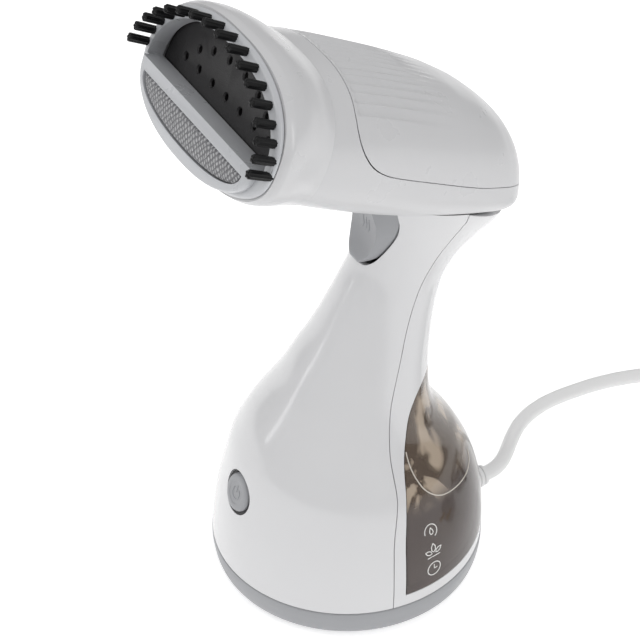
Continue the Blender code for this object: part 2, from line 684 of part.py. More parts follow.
def plate_holes():
    """Two curved rows of steam holes across the plate, above the crossbar."""
    row = [(-31.8 + 10.6 * k, 4.6) for k in range(7)]
    arc = [(31.0 * math.cos(math.radians(a)), 3.0 + 13.0 * math.sin(math.radians(a)))
           for a in range(35, 146, 22)]
    return row + arc


PLATE_HOLES = plate_holes()


# ---------------------------------------------------------------- clip-on attachment
def attachment():
    """Frame with a crossbar, its row of bristles and the lint pad under the bar."""
    sections = [(2.7, 46.9, 27.0, 19.2), (3.4, 48.6, 28.2, 20.0), (4.65, 48.9, 28.5, 20.3),
                (4.67, 46.5, 26.2, 18.1), (9.2, 46.1, 25.8, 17.9)]
    frame = rings_mesh("frame", [[head_point(x, s, v) for x, v in oval(a, u, d, 18)]
                                 for s, a, u, d in sections])
    lip = half_oval(43.4, 18.8, 16, False, BAR_V[0], 2.25)[::-1]
    chin = rings_mesh("chin", [
        [head_point(x * k, s, BAR_V[0] + (v - BAR_V[0]) * k) for x, v in lip]
        for s, k in ((0.0, 0.972), (0.8, 1.0), (4.2, 1.0))])
    frame = carve(frame, [chin], 'UNION')
    opening = head_slab("open", half_oval(45.3, 23.6 - BAR_V[0], 16, True, BAR_V[0], 2.3), -4, 14)
    vent = head_slab("vent", half_oval(36.0, 9.0, 12, False, BAR_V[0] - 3, 2.2)[::-1], 6.6, 14)
    seat = head_slab("seat", half_oval(41.0, BAR_V[1] + 25.0 - 6.3, 16, False, BAR_V[1], 2.2)[::-1],
                     -4, 3.4)
    groove = bristle_track(-5.0, 4.15, -2.6, 1.45)
    place("attachment_frame", biggest_only(carve(frame, [opening, vent, seat, groove])),
          LIGHT_GREY)
    bristles()
    top = BAR_V[1] - GAP
    outline = half_oval(40.5, top + 18.3, 16, False, top, 2.2)[::-1]
    pad = [[head_point(x * k, s, -12.0 + (v + 12.0) * k) for x, v in outline]
           for s, k in ((3.0, 1.0), (1.2, 1.0), (0.3, 0.96), (-0.3, 0.86))]
    place("lint_pad", rings_mesh("pad", pad), PAD)


def tuft_spots():
    """Evenly spaced roots round the upper arc of the frame, as (x, v, angle)."""
    out = []
    for k in range(TUFTS):
        t = math.radians(-1.5 + 178.5 * k / (TUFTS - 1))
        out.append((TRACK_A * math.cos(t), TRACK_B * math.sin(t), t))
    return out


def bristle_track(s0, s1, inner, outer):
    """The arc-shaped strip that the tufts stand in, as a curved bar."""
    ring, steps = [], 22
    for side in (outer, inner):
        for k in (range(steps + 1) if side > 0 else range(steps, -1, -1)):
            t = math.radians(-4 + 188 * k / steps)
            n = Vector((TRACK_B * math.cos(t), TRACK_A * math.sin(t))).normalized()
            ring.append((TRACK_A * math.cos(t) + side * n.x, TRACK_B * math.sin(t) + side * n.y))
    return head_slab("track", ring, s0, s1)


def bristles():
    strip = bristle_track(2.95, 3.85, -1.1, 1.1)
    tufts = []
    for x, v, t in tuft_spots():
        splay = Vector((0.06 * math.cos(t), 0, 0)) + HEAD_UP * (0.03 * math.sin(t))
        axis = (-HEAD_AXIS + splay).normalized()
        tufts.append(turned("tuft", [(0, 0), (1.0, 0), (TUFT_R, 1.6),
                                     (TUFT_R * 1.04, TUFT_LEN), (0, TUFT_LEN + 0.3)],
                            head_point(x, 3.8, v), axis, 7))
    place("bristle_strip", carve(strip, tufts, 'UNION'), BRISTLE)


# ---------------------------------------------------------------- pump, pipes and wiring
def water_path():
    y = PUMP_Y
    place("pump_bracket", carve(block("bracket", (0, y, 19.2), (30, 24, 3.0)),
                                [rod("r", (0, y, 10), (0, 0, 1), 4, 20, 12)]), INNER)
    place("pump_coil", ring_bar("winding", (0, y, 22.7), (0, 0, 1), 5.4, 10.6, 18.6, 20), COPPER)
    yoke = block("yoke", (0, y, 32.2), (27, 14, 22.2))
    gap = block("gap", (0, y, 32.2), (23.2, 30, 19.9))
    bore = rod("bore", (0, y, 15), (0, 0, 1), 5.6, 40, 14)
    place("pump_yoke", carve(yoke, [gap, bore]), STEEL)
    place("pump_body", turned("pump", [
        (0, 0), (3.4, 0), (3.4, 7.0), (5.0, 7.0), (5.0, 25.0), (3.2, 26.5), (3.2, 33.0), (0, 33)],
        (0, y, 14.2), (0, 0, 1), 12), BLACK)
    place("inlet_hose", pipe("inlet", [
        (VALVE_X, -5.6, VALVE_Z), (18, -7.8, 26.9), (18, -10.8, 24), (17.6, -12.8, 17),
        (15, -15, 10.5), (9, y + 1, 7.6), (3, y, 7.8), (0, y, 10.4), (0, y, 13.8)],
        2.2, 7, 1.3, 2), SILICONE)
    place("outlet_hose", pipe("outlet", [
        (0, y, 47.6), (0, y + 1, 56), (0, -15.5, 68), (0, -11.0, 80), (0, -4, 92), (-1, 2, 103),
        (-3, 9, 116), (-6, 18, 132), (-8, 27, 147), (-8, 31, 159), head_point(-7, 100, -15),
        head_point(-5, 95, -7), head_point(-2, 83, -4), head_point(0, 69.0, -4)],
        2.4, 7, 1.3, 2), SILICONE)
    place("terminal_block", block("terminals", (-18, 20, 8.4), (22, 12, 8.0), None, 0.6), INNER)
    place("cord_clamp", carve(block("clamp", (0, 38, 8.6), (22, 6, 8.8)),
                              [rod("r", (0, 20, GLAND_Z), (0, 1, 0), 3.6, 40, 14)]), INNER)
    for n, x in enumerate((-8.0, 8.0), 1):
        place(f"clamp_screw_{n}", rod("s", (x, 38, 13.3), (0, 0, 1), 2.3, 1.4, 10), STEEL)
    for n, (name, colour) in enumerate((("blue", (0.02, 0.09, 0.4)),
                                        ("brown", (0.18, 0.08, 0.03)))):
        place(f"mains_wire_{n + 1}", pipe("wire", [
            (-25 + 5 * n, 13.2, 8.2), (-30 + 5 * n, 2, 8.2), (-25 + 5 * n, -13, 8.2),
            (-13 + 5 * n, -26, 8.6), (-8 + 5 * n, -34, 12), (-7 + 5 * n, -35.5, 19)],
            1.1, 6, per_span=2), material(f"wire_{name}", colour, 0.5))


# ---------------------------------------------------------------- mains cord
CORD_ROUTE = [
    (0, 36, 8.4), (0, 46, 8.4), (0, 56, 8.4), (0, 66.5, 8.4), (-1.8, 73.5, 7.5), (-6.2, 80.4, 5.6),
    (-12.2, 87.0, 4.1), (-18.8, 93.8, 3.4), (-24.8, 101.2, 3.3), (-29.2, 109.6, 3.3),
    (-31.9, 118.6, 3.3), (-33.0, 127.8, 3.3), (-33.0, 137.0, 3.3), (-32.6, 146.2, 3.3),
    (-31.4, 155.2, 3.3), (-29.4, 164.2, 3.3), (-26.7, 172.9, 3.3), (-23.2, 181.4, 3.3),
    (-18.9, 189.5, 3.3), (-14.0, 197.2, 3.3), (-8.4, 204.5, 3.3), (-2.1, 212.0, 3.6),
]
COIL_AT = (50.0, 210.0)
COIL_INNER, COIL_OUTER = 34.6, 41.2     # radii of the coil's two columns of turns
COIL_LOW, LAYER, LAYERS = 1.5, 6.65, 4  # it lies on its tie, in layers a little over a cord apart
COIL_START = math.radians(140)          # where the lead meets the coil, which runs clockwise
TIE_ANGLE, TIE_T = math.radians(250), 1.2
TAIL_ANGLE, TAIL_LONG = math.radians(5), 54.0
PLUG_Z, PLUG_BACK = 17.2, 26.0          # height of the plug's axis, and its length behind it


def coil_place(angle, radius, z):
    return Vector((COIL_AT[0] + radius * math.cos(angle), COIL_AT[1] + radius * math.sin(angle), z))


def tail_path():
    """The cord's end: straight off the coil's top outer turn and down to the plug."""
    top = COIL_LOW + LAYER * (LAYERS - 0.5)
    way = Vector((math.sin(TAIL_ANGLE), -math.cos(TAIL_ANGLE), 0))
    points = []
    for k in range(10):
        along = TAIL_LONG * k / 9
        fall = max(0.0, (along - 14) / (TAIL_LONG - 14))
        z = top - (top - PLUG_Z) * fall * fall * (3 - 2 * fall)
        points.append(coil_place(TAIL_ANGLE, COIL_OUTER, z) + way * along)
    return points, way


def cord():
    r, wall = CORD_D / 2, 4.25
    bore = r + 0.3
    place("cord_gland", turned("gland", [
        (bore, -7.6), (5.4, -7.6), (5.4, -3.4), (wall, -3.4), (wall, 4.0), (5.8, 4.0), (5.8, 6.2),
        (4.7, 14.6), (bore, 14.6)], (0, 52.6, GLAND_Z), (0, 1, 0), 16), SHEATH)
    place("cord_lead", route("lead", CORD_ROUTE), SHEATH)
    inner, outer = COIL_INNER - r - 0.1, COIL_OUTER + r + 0.1
    high = LAYER * LAYERS
    coil_ring = ring_bar("coil", (*COIL_AT, COIL_LOW), (0, 0, 1), inner, outer, high, 40)
    entry = coil_place(COIL_START, COIL_OUTER, 4.9)
    back = Vector((-math.sin(COIL_START), math.cos(COIL_START), 0))
    start = pipe("start", [entry + back * 31.2 - Vector((0, 0, 1.25)),
                           entry + back * 16 - Vector((0, 0, 0.6)), entry,
                           coil_place(COIL_START - 0.3, COIL_OUTER, 5.0)], r, 10, per_span=2)
    points, way = tail_path()
    before = coil_place(TAIL_ANGLE + 0.3, COIL_OUTER, points[0].z)
    tail = pipe("tail", [before] + points + [points[-1] + way * 3.6], r, 10, per_span=1)
    place("cord_coil", carve(coil_ring, [start, tail], 'UNION'), SHEATH)
    width, middle = outer - inner, (outer + inner) / 2
    tie = carve(block("tie", (0, 0, 0), (width + 1.6 + 2 * TIE_T, 9, high + 0.5 + 2 * TIE_T)),
                [block("gap", (0, 0, 0), (width + 1.6, 20, high + 0.5))])
    tie.transform(Matrix.Translation(coil_place(TIE_ANGLE, middle, COIL_LOW + high / 2))
                  @ Matrix.Rotation(TIE_ANGLE, 4, 'Z'))
    place("cord_tie", tie, BLACK)
    plug(points[-1] + way * (PLUG_BACK + 4.0), way)


def route(name, points):
    """The cord's free length as a bevelled curve with closed ends, made into a mesh."""
    curve = bpy.data.curves.new(name, 'CURVE')
    curve.dimensions, curve.bevel_depth, curve.bevel_resolution = '3D', CORD_D / 2, 2
    curve.use_fill_caps = True
    path = smooth_path(points, 2)
    spline = curve.splines.new('POLY')
    spline.points.add(len(path) - 1)
    for point, here in zip(spline.points, path):
        point.co = (*here, 1.0)
    holder = bpy.data.objects.new(name, curve)
    bpy.context.collection.objects.link(holder)
    bpy.context.view_layer.update()
    graph = bpy.context.evaluated_depsgraph_get()
    mesh = bpy.data.meshes.new_from_object(holder.evaluated_get(graph))
    bpy.data.objects.remove(holder, do_unlink=True)
    bm = bmesh.new()
    bm.from_mesh(mesh)
    bmesh.ops.remove_doubles(bm, verts=bm.verts, dist=0.001)
    face_out(bm)
    bm.to_mesh(mesh)
    bm.free()
    return mesh


def plug(at, way):
    """Round two-pin mains plug lying on the table beside the coil."""
    across = Vector((-way.y, way.x, 0))
    body = turned("plug", [
        (0, -PLUG_BACK), (4.4, -PLUG_BACK), (5.2, -14), (8.5, -4), (16.0, 2), (18.2, 6), (18.4, 20),
        (17.2, 22.6), (0, 22.6)], at, way, 20, 0.92)
    holes = [rod("h", at + across * (9.5 * side) + way * 8, way, 2.7, 30, 10) for side in (-1, 1)]
    place("plug_body", carve(body, holes), SHEATH)
    for n, side in enumerate((-1, 1), 1):
        place(f"plug_pin_{n}", rod("pin", at + across * (9.5 * side) + way * 8.6, way, 2.4, 33,
                                   10, 0.8), BRASS)


def build():
    foot()
    shells()
    tank()
    power_button()
    trigger()
    head_shells()
    steam_unit()
    attachment()
    water_path()
    cord()


build()
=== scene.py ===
import json
import math

import bmesh
import bpy
from mathutils import Matrix, Vector

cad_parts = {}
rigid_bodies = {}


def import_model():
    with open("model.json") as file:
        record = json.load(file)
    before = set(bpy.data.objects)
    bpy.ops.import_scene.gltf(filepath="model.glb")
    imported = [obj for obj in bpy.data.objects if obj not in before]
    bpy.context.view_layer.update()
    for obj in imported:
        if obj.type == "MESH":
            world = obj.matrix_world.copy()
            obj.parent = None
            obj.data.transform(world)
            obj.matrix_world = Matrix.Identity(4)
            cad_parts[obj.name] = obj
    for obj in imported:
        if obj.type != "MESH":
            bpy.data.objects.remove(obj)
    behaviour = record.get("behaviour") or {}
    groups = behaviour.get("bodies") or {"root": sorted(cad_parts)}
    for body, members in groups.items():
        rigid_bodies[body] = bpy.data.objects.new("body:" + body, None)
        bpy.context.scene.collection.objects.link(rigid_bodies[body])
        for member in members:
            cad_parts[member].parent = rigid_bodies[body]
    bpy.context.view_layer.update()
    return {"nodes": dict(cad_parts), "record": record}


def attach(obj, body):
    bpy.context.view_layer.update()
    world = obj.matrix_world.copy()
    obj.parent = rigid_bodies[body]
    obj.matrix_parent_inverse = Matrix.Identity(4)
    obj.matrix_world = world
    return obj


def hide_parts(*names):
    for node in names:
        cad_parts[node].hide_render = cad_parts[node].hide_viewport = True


for leftover in list(bpy.data.objects):
    bpy.data.objects.remove(leftover, do_unlink=True)
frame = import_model()
NODES = frame["nodes"]

# ---------------------------------------------------------------- driving dimensions (mm)
MM = 0.001
GAP = 0.35
SHELL_T = 2.4
HEAD_Y, HEAD_Z = -57.1, 229.8       # front of the head, on the plane of symmetry
HEAD_TILT = math.radians(26.0)
COS, SIN = math.cos(HEAD_TILT), math.sin(HEAD_TILT)
FOOT_R, FOOT_H = 55.8, 14.0
BUTTON_R, BUTTON_TILT = 7.8, math.radians(20.0)
TRACK_A, TRACK_B = 47.6, 26.6
BAR_V = (-1.7, -6.0)
PAD_A, PAD_V = 38.8, 10.2           # half width and height of the lint pad's seat
CORD_D, GLAND_Z = 6.6, 8.4
WATER_Z = 52.0

BODY = [
    (14.4, 0.0, 0, 55.6, 55.6), (24, 0.6, 0, 55.1, 55.1), (36, 1.1, 0, 53.5, 53.6),
    (48, 0.9, 0, 50.3, 50.6), (60, -0.6, 0, 45.6, 46.0), (68, -1.8, 0, 40.9, 41.4),
    (76, -2.0, 0, 36.2, 36.7), (84, 0.2, 0, 32.2, 32.6), (91, 2.8, 0, 29.2, 29.8),
    (100, 6.2, 2, 26.1, 26.8), (109, 10.0, 4, 23.4, 23.8), (120, 14.2, 6, 20.6, 21.4),
    (130, 18.2, 8, 18.8, 19.8), (139, 22.3, 10, 18.2, 19.1), (149, 27.2, 14, 19.4, 21.0),
    (158, 31.4, 19, 22.6, 24.6), (165.5, 33.4, 23, 26.4, 28.4), (171, 34.2, 26, 29.0, 30.6),
    (177, 34.4, 26, 30.8, 31.4), (184, 34.0, 26, 31.2, 31.2),
]
HEAD = [
    (29.0, 41.6, 27.0, 22.0), (38, 41.5, 28.2, 22.1), (48, 41.0, 29.0, 22.2),
    (60, 39.9, 29.3, 22.2), (74, 38.5, 29.2, 21.6), (88, 37.0, 28.5, 20.0),
    (101, 35.6, 27.4, 17.6), (112, 34.0, 26.2, 15.0), (120, 32.0, 24.6, 12.8),
    (125.5, 28.6, 22.2, 10.8), (129.5, 22.5, 17.8, 8.2), (131.9, 12.5, 10.0, 4.6),
]
SEAM = [
    (-9.2, 10), (-9.0, 16), (-7.2, 42), (-2.4, 61), (-0.8, 76), (3.0, 91), (6.6, 100),
    (10.4, 109), (14.4, 120), (18.4, 130), (22.4, 139), (27.4, 149), (31.4, 158), (33.6, 166),
    (34.4, 172), (34.4, 210),
]
WINDOW = [
    (-3.6, 19.3), (-2.4, 40), (-0.3, 52), (1.6, 61), (4.2, 71), (8.0, 80), (11.0, 86),
    (14.8, 90.4), (19.6, 93.8), (26.0, 96.4), (33.5, 98.0),
]


# ---------------------------------------------------------------- camera
def camera():
    """The photograph's viewpoint: right, front, above."""
    turn, rise, roll = math.radians(62.4), math.radians(37.7), math.radians(-0.64)
    back = Vector((math.sin(turn) * math.cos(rise), -math.cos(turn) * math.cos(rise),
                   math.sin(rise)))
    side = Vector((math.cos(turn), math.sin(turn), 0))
    up = back.cross(side)
    right = side * math.cos(roll) + up * math.sin(roll)
    top = up * math.cos(roll) - side * math.sin(roll)
    data = bpy.data.cameras.new("camera")
    data.lens, data.sensor_width = 107.8, 36.0
    obj = bpy.data.objects.new("camera", data)
    bpy.context.collection.objects.link(obj)
    matrix = Matrix((right, top, back)).transposed().to_4x4()
    matrix.translation = (0.50958, -0.27777, 0.566)
    obj.matrix_world = matrix
    bpy.context.scene.camera = obj


# ---------------------------------------------------------------- mesh helpers
def face_out(bm):
    bmesh.ops.recalc_face_normals(bm, faces=bm.faces)
    if bm.calc_volume(signed=True) < 0:
        bmesh.ops.reverse_faces(bm, faces=bm.faces)


def to_mesh(name, verts, faces):
    mesh = bpy.data.meshes.new(name)
    mesh.from_pydata([tuple(v) for v in verts], [], faces)
    bm = bmesh.new()
    bm.from_mesh(mesh)
    face_out(bm)
    bm.to_mesh(mesh)
    bm.free()
    return mesh


def rings_mesh(name, rings, closed=False, caps=True):
    """Skin a list of equal rings; closed joins the last ring to the first, as a hoop."""
    count, verts, faces = len(rings[0]), [p for ring in rings for p in ring], []
    for i in range(len(rings) if closed else len(rings) - 1):
        a, b = i * count, ((i + 1) % len(rings)) * count
        for j in range(count):
            k = (j + 1) % count
            faces.append((a + j, a + k, b + k, b + j))
    if caps and not closed:
        faces.append(tuple(range(count))[::-1])
        faces.append(tuple(range((len(rings) - 1) * count, len(rings) * count)))
    return to_mesh(name, verts, faces)


def head_point(x, s, v):
    """A point on the head: s runs back along its axis and v up across it."""
    return Vector((x, HEAD_Y + s * COS + v * SIN, HEAD_Z - s * SIN + v * COS))


HEAD_AXIS = Vector((0, COS, -SIN))
HEAD_UP = Vector((0, SIN, COS))


def basis(axis, up=(0, 0, 1)):
    axis, up = Vector(axis).normalized(), Vector(up)
    if abs(axis.dot(up)) > 0.99:
        up = Vector((0, 1, 0))
    side = up.cross(axis).normalized()
    return side, axis.cross(side)


def turned(name, profile, base, axis, steps=64, flat=1.0):
    """Turn a closed outline of (radius, distance along the axis) round an axis."""
    base, axis = Vector(base), Vector(axis).normalized()
    side, up = basis(axis)
    solid = min(r for r, _ in profile) < 1e-6
    verts, faces, index = [], [], []
    for r, h in profile:
        if r < 1e-6:
            index.append([len(verts)] * steps)
            verts.append(base + axis * h)
            continue
        index.append(list(range(len(verts), len(verts) + steps)))
        for j in range(steps):
            t = 2 * math.pi * j / steps
            verts.append(base + axis * h + side * (r * math.cos(t)) + up * (r * flat * math.sin(t)))
    for i in range(len(profile) - 1 if solid else len(profile)):
        a, b = index[i], index[(i + 1) % len(profile)]
        for j in range(steps):
            k = (j + 1) % steps
            face = [a[j], a[k], b[k], b[j]]
            face = [v for n, v in enumerate(face) if v not in face[:n]]
            if len(face) > 2:
                faces.append(tuple(face))
    return to_mesh(name, verts, faces)


def rod(name, base, axis, radius, length, steps=32):
    return turned(name, [(0, 0), (radius, 0), (radius, length), (0, length)], base, axis, steps)


def rounded(profile, radius=0.6, steps=3, keep_ends=True):
    """The same outline with its inner corners rounded off."""
    out = []
    for n, point in enumerate(profile):
        if keep_ends and n in (0, len(profile) - 1):
            out.append(point)
            continue
        here, before, after = Vector(point), Vector(profile[n - 1]), Vector(
            profile[(n + 1) % len(profile)])
        cut = min(radius, 0.45 * (here - before).length, 0.45 * (after - here).length)
        a = here + (before - here).normalized() * cut
        b = here + (after - here).normalized() * cut
        for k in range(steps + 1):
            t = k / steps
            out.append(tuple(a * (1 - t) ** 2 + here * (2 * t * (1 - t)) + b * t ** 2))
    return out


def slab(name, outline, low, high, point=lambda a, b, h: (h, a, b)):
    return rings_mesh(name, [[point(a, b, h) for a, b in outline] for h in (low, high)])


def side_slab(name, outline, half=80.0):
    return slab(name, outline, -half, half, point=lambda y, z, x: (x, y, z))


def head_slab(name, outline, s0, s1):
    return slab(name, outline, s0, s1, point=lambda x, v, s: head_point(x, s, v))


def half_oval(a, b, steps, top=True, base=0.0, bulge=2.0):
    sign, power, points = (1 if top else -1), 2.0 / bulge, []
    for j in range(steps + 1):
        t = math.pi * j / steps
        c, s = math.cos(t), math.sin(t)
        points.append((a * math.copysign(abs(c) ** power, c), base + sign * b * abs(s) ** power))
    return points


def oval(a, up, down, steps, bulge=2.3):
    upper = half_oval(a, up, steps, True, 0.0, bulge)
    lower = half_oval(a, down, steps, False, 0.0, bulge)
    return upper + lower[-2:0:-1]


def carve(mesh, cutters, operation='DIFFERENCE'):
    """Exact boolean of a mesh with a list of meshes, all in millimetres."""
    target = bpy.data.objects.new("target", mesh)
    bpy.context.collection.objects.link(target)
    tools = []
    for cutter in cutters:
        tool = bpy.data.objects.new("tool", cutter)
        bpy.context.collection.objects.link(tool)
        mod = target.modifiers.new("cut", 'BOOLEAN')
        mod.operation, mod.solver, mod.object = operation, 'EXACT', tool
        tools.append(tool)
    bpy.context.view_layer.update()
    graph = bpy.context.evaluated_depsgraph_get()
    result = bpy.data.meshes.new_from_object(target.evaluated_get(graph))
    for obj in [target] + tools:
        bpy.data.objects.remove(obj, do_unlink=True)
    return result


def blend_rows(points, per_span=6):
    """A Catmull-Rom curve through rows of numbers of any length."""
    rows = [tuple(p) for p in points]
    first = tuple(2 * a - b for a, b in zip(rows[0], rows[1]))
    last = tuple(2 * a - b for a, b in zip(rows[-1], rows[-2]))
    rows, out = [first] + rows + [last], []
    for i in range(1, len(rows) - 2):
        for j in range(per_span):
            t = j / per_span
            out.append(tuple(
                0.5 * (2 * b + (c - a) * t + (2 * a - 5 * b + 4 * c - d) * t * t
                       + (3 * b - a - 3 * c + d) * t ** 3)
                for a, b, c, d in zip(*rows[i - 1:i + 3])))
    out.append(rows[-2])
    return out


def piece(name, mesh, mat, body, nodes=(), edge=35.0, bevel=0.0):
    """Link a mesh made in millimetres, shade it, let it ride and stand for CAD nodes."""
    mesh.transform(Matrix.Scale(MM, 4))
    mesh.materials.clear()
    mesh.materials.append(mat)
    mesh.polygons.foreach_set("material_index", [0] * len(mesh.polygons))
    mesh.shade_smooth()
    mesh.set_sharp_from_angle(angle=math.radians(edge))
    obj = bpy.data.objects.new(name, mesh)
    bpy.context.collection.objects.link(obj)
    if bevel:
        mod = obj.modifiers.new("bevel", 'BEVEL')
        mod.width, mod.segments, mod.limit_method = bevel * MM, 2, 'ANGLE'
        mod.angle_limit = math.radians(edge)
        mod.harden_normals = True
    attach(obj, body)
    if nodes:
        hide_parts(*nodes)
    return obj


def line(name, points, radius, mat, body, closed=False, resolution=3):
    """A thin round line through points in millimetres, such as a printed stroke."""
    curve = bpy.data.curves.new(name, 'CURVE')
    curve.dimensions, curve.bevel_depth, curve.bevel_resolution = '3D', radius * MM, resolution
    curve.use_fill_caps = True
    spline = curve.splines.new('POLY')
    spline.points.add(len(points) - 1)
    for spot, here in zip(spline.points, points):
        spot.co = (*(Vector(here) * MM), 1.0)
    spline.use_cyclic_u = closed
    curve.materials.append(mat)
    obj = bpy.data.objects.new(name, curve)
    bpy.context.collection.objects.link(obj)
    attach(obj, body)
    return obj


# ---------------------------------------------------------------- materials
def new_material(name):
    mat = bpy.data.materials.new(name)
    mat.use_nodes = True
    return mat, mat.node_tree, mat.node_tree.nodes["Principled BSDF"]


def add(tree, kind, **settings):
    node = tree.nodes.new(kind)
    for key, value in settings.items():
        if key in node.inputs:
            node.inputs[key].default_value = value
        else:
            setattr(node, key, value)
    return node


def noise(tree, scale, detail=3.0, stretch=(1, 1, 1), turn=(0, 0, 0)):
    """Noise in the piece's own coordinates; scale is in cells per metre."""
    where = add(tree, "ShaderNodeTexCoord")
    move = add(tree, "ShaderNodeMapping")
    move.inputs["Scale"].default_value = stretch
    move.inputs["Rotation"].default_value = turn
    grain = add(tree, "ShaderNodeTexNoise")
    grain.inputs["Scale"].default_value = scale
    grain.inputs["Detail"].default_value = detail
    tree.links.new(where.outputs["Object"], move.inputs["Vector"])
    tree.links.new(move.outputs["Vector"], grain.inputs["Vector"])
    return grain


def spread(tree, source, low, high):
    """Map a 0-1 output to low-high."""
    node = add(tree, "ShaderNodeMapRange")
    node.inputs["From Min"].default_value, node.inputs["From Max"].default_value = 0.3, 0.7
    node.inputs["To Min"].default_value, node.inputs["To Max"].default_value = low, high
    tree.links.new(source, node.inputs["Value"])
    return node.outputs["Result"]


def tint(tree, shader, source, dark, light):
    ramp = add(tree, "ShaderNodeValToRGB")
    ramp.color_ramp.elements[0].position, ramp.color_ramp.elements[1].position = 0.3, 0.7
    ramp.color_ramp.elements[0].color = (*dark, 1)
    ramp.color_ramp.elements[1].color = (*light, 1)
    tree.links.new(source, ramp.inputs["Fac"])
    tree.links.new(ramp.outputs["Color"], shader.inputs["Base Color"])
    return ramp


def bump(tree, shader, source, strength, depth):
    node = add(tree, "ShaderNodeBump")
    node.inputs["Strength"].default_value, node.inputs["Distance"].default_value = strength, depth
    tree.links.new(source, node.inputs["Height"])
    tree.links.new(node.outputs["Normal"], shader.inputs["Normal"])
    return node


def moulded(name, colour, rough, grain=900.0, relief=0.12, coat=0.0, vary=0.03, metallic=0.0,
            alpha=1.0, coat_rough=0.08):
    """Moulded plastic or metal: soft colour drift, uneven gloss and a fine surface grain."""
    mat, tree, shader = new_material(name)
    cloud = noise(tree, 14.0, 4.0)
    fine = noise(tree, grain, 2.0)
    dark = tuple(max(0.0, c * (1 - vary)) for c in colour)
    light = tuple(min(1.0, c * (1 + vary)) for c in colour)
    tint(tree, shader, cloud.outputs["Fac"], dark, light)
    patches = noise(tree, 60.0, 5.0)
    tree.links.new(spread(tree, patches.outputs["Fac"], rough * 0.85, min(1.0, rough * 1.2)),
                   shader.inputs["Roughness"])
    bump(tree, shader, fine.outputs["Fac"], relief, 0.0002)
    shader.inputs["Metallic"].default_value = metallic
    shader.inputs["Coat Weight"].default_value = coat
    shader.inputs["Coat Roughness"].default_value = coat_rough
    shader.inputs["Alpha"].default_value = alpha
    return mat


def brushed(name, colour, rough, stretch=(1, 1, 40)):
    """Drawn or brushed metal with fine lines along one direction."""
    mat, tree, shader = new_material(name)
    lines = noise(tree, 160.0, 6.0, stretch)
    tint(tree, shader, lines.outputs["Fac"], tuple(c * 0.86 for c in colour), colour)
    tree.links.new(spread(tree, lines.outputs["Fac"], rough * 0.7, rough * 1.3),
                   shader.inputs["Roughness"])
    bump(tree, shader, lines.outputs["Fac"], 0.15, 0.0001)
    shader.inputs["Metallic"].default_value = 1.0
    shader.inputs["Anisotropic"].default_value = 0.4
    return mat


def lint_cloth():
    """Lint cloth: short raised ribs on a slant, over a fine weave."""
    mat, tree, shader = new_material("lint_cloth")
    where = add(tree, "ShaderNodeTexCoord")
    move = add(tree, "ShaderNodeMapping")
    move.inputs["Rotation"].default_value = (0.0, math.radians(-38), 0.0)
    tree.links.new(where.outputs["Object"], move.inputs["Vector"])
    rows = add(tree, "ShaderNodeTexWave", wave_type='BANDS', bands_direction='X')
    rows.inputs["Scale"].default_value = 170.0
    rows.inputs["Distortion"].default_value = 2.6
    rows.inputs["Detail"].default_value = 1.0
    rows.inputs["Detail Scale"].default_value = 2.2
    dashes = add(tree, "ShaderNodeTexWave", wave_type='BANDS', bands_direction='Z')
    dashes.inputs["Scale"].default_value = 230.0
    dashes.inputs["Distortion"].default_value = 4.5
    dashes.inputs["Detail"].default_value = 1.0
    tree.links.new(move.outputs["Vector"], rows.inputs["Vector"])
    tree.links.new(move.outputs["Vector"], dashes.inputs["Vector"])
    mixed = add(tree, "ShaderNodeMath", operation='MULTIPLY')
    tree.links.new(rows.outputs["Fac"], mixed.inputs[0])
    tree.links.new(dashes.outputs["Fac"], mixed.inputs[1])
    fuzz = noise(tree, 2600.0, 2.0)
    total = add(tree, "ShaderNodeMath", operation='MULTIPLY_ADD')
    tree.links.new(fuzz.outputs["Fac"], total.inputs[0])
    total.inputs[1].default_value = 0.3
    tree.links.new(mixed.outputs[0], total.inputs[2])
    ramp = tint(tree, shader, total.outputs[0], (0.16, 0.16, 0.17), (0.56, 0.56, 0.58))
    ramp.color_ramp.elements[0].position, ramp.color_ramp.elements[1].position = 0.18, 0.72
    bump(tree, shader, total.outputs[0], 1.0, 0.0007)
    shader.inputs["Roughness"].default_value = 0.85
    shader.inputs["Sheen Weight"].default_value = 0.5
    shader.inputs["Sheen Roughness"].default_value = 0.4
    return mat


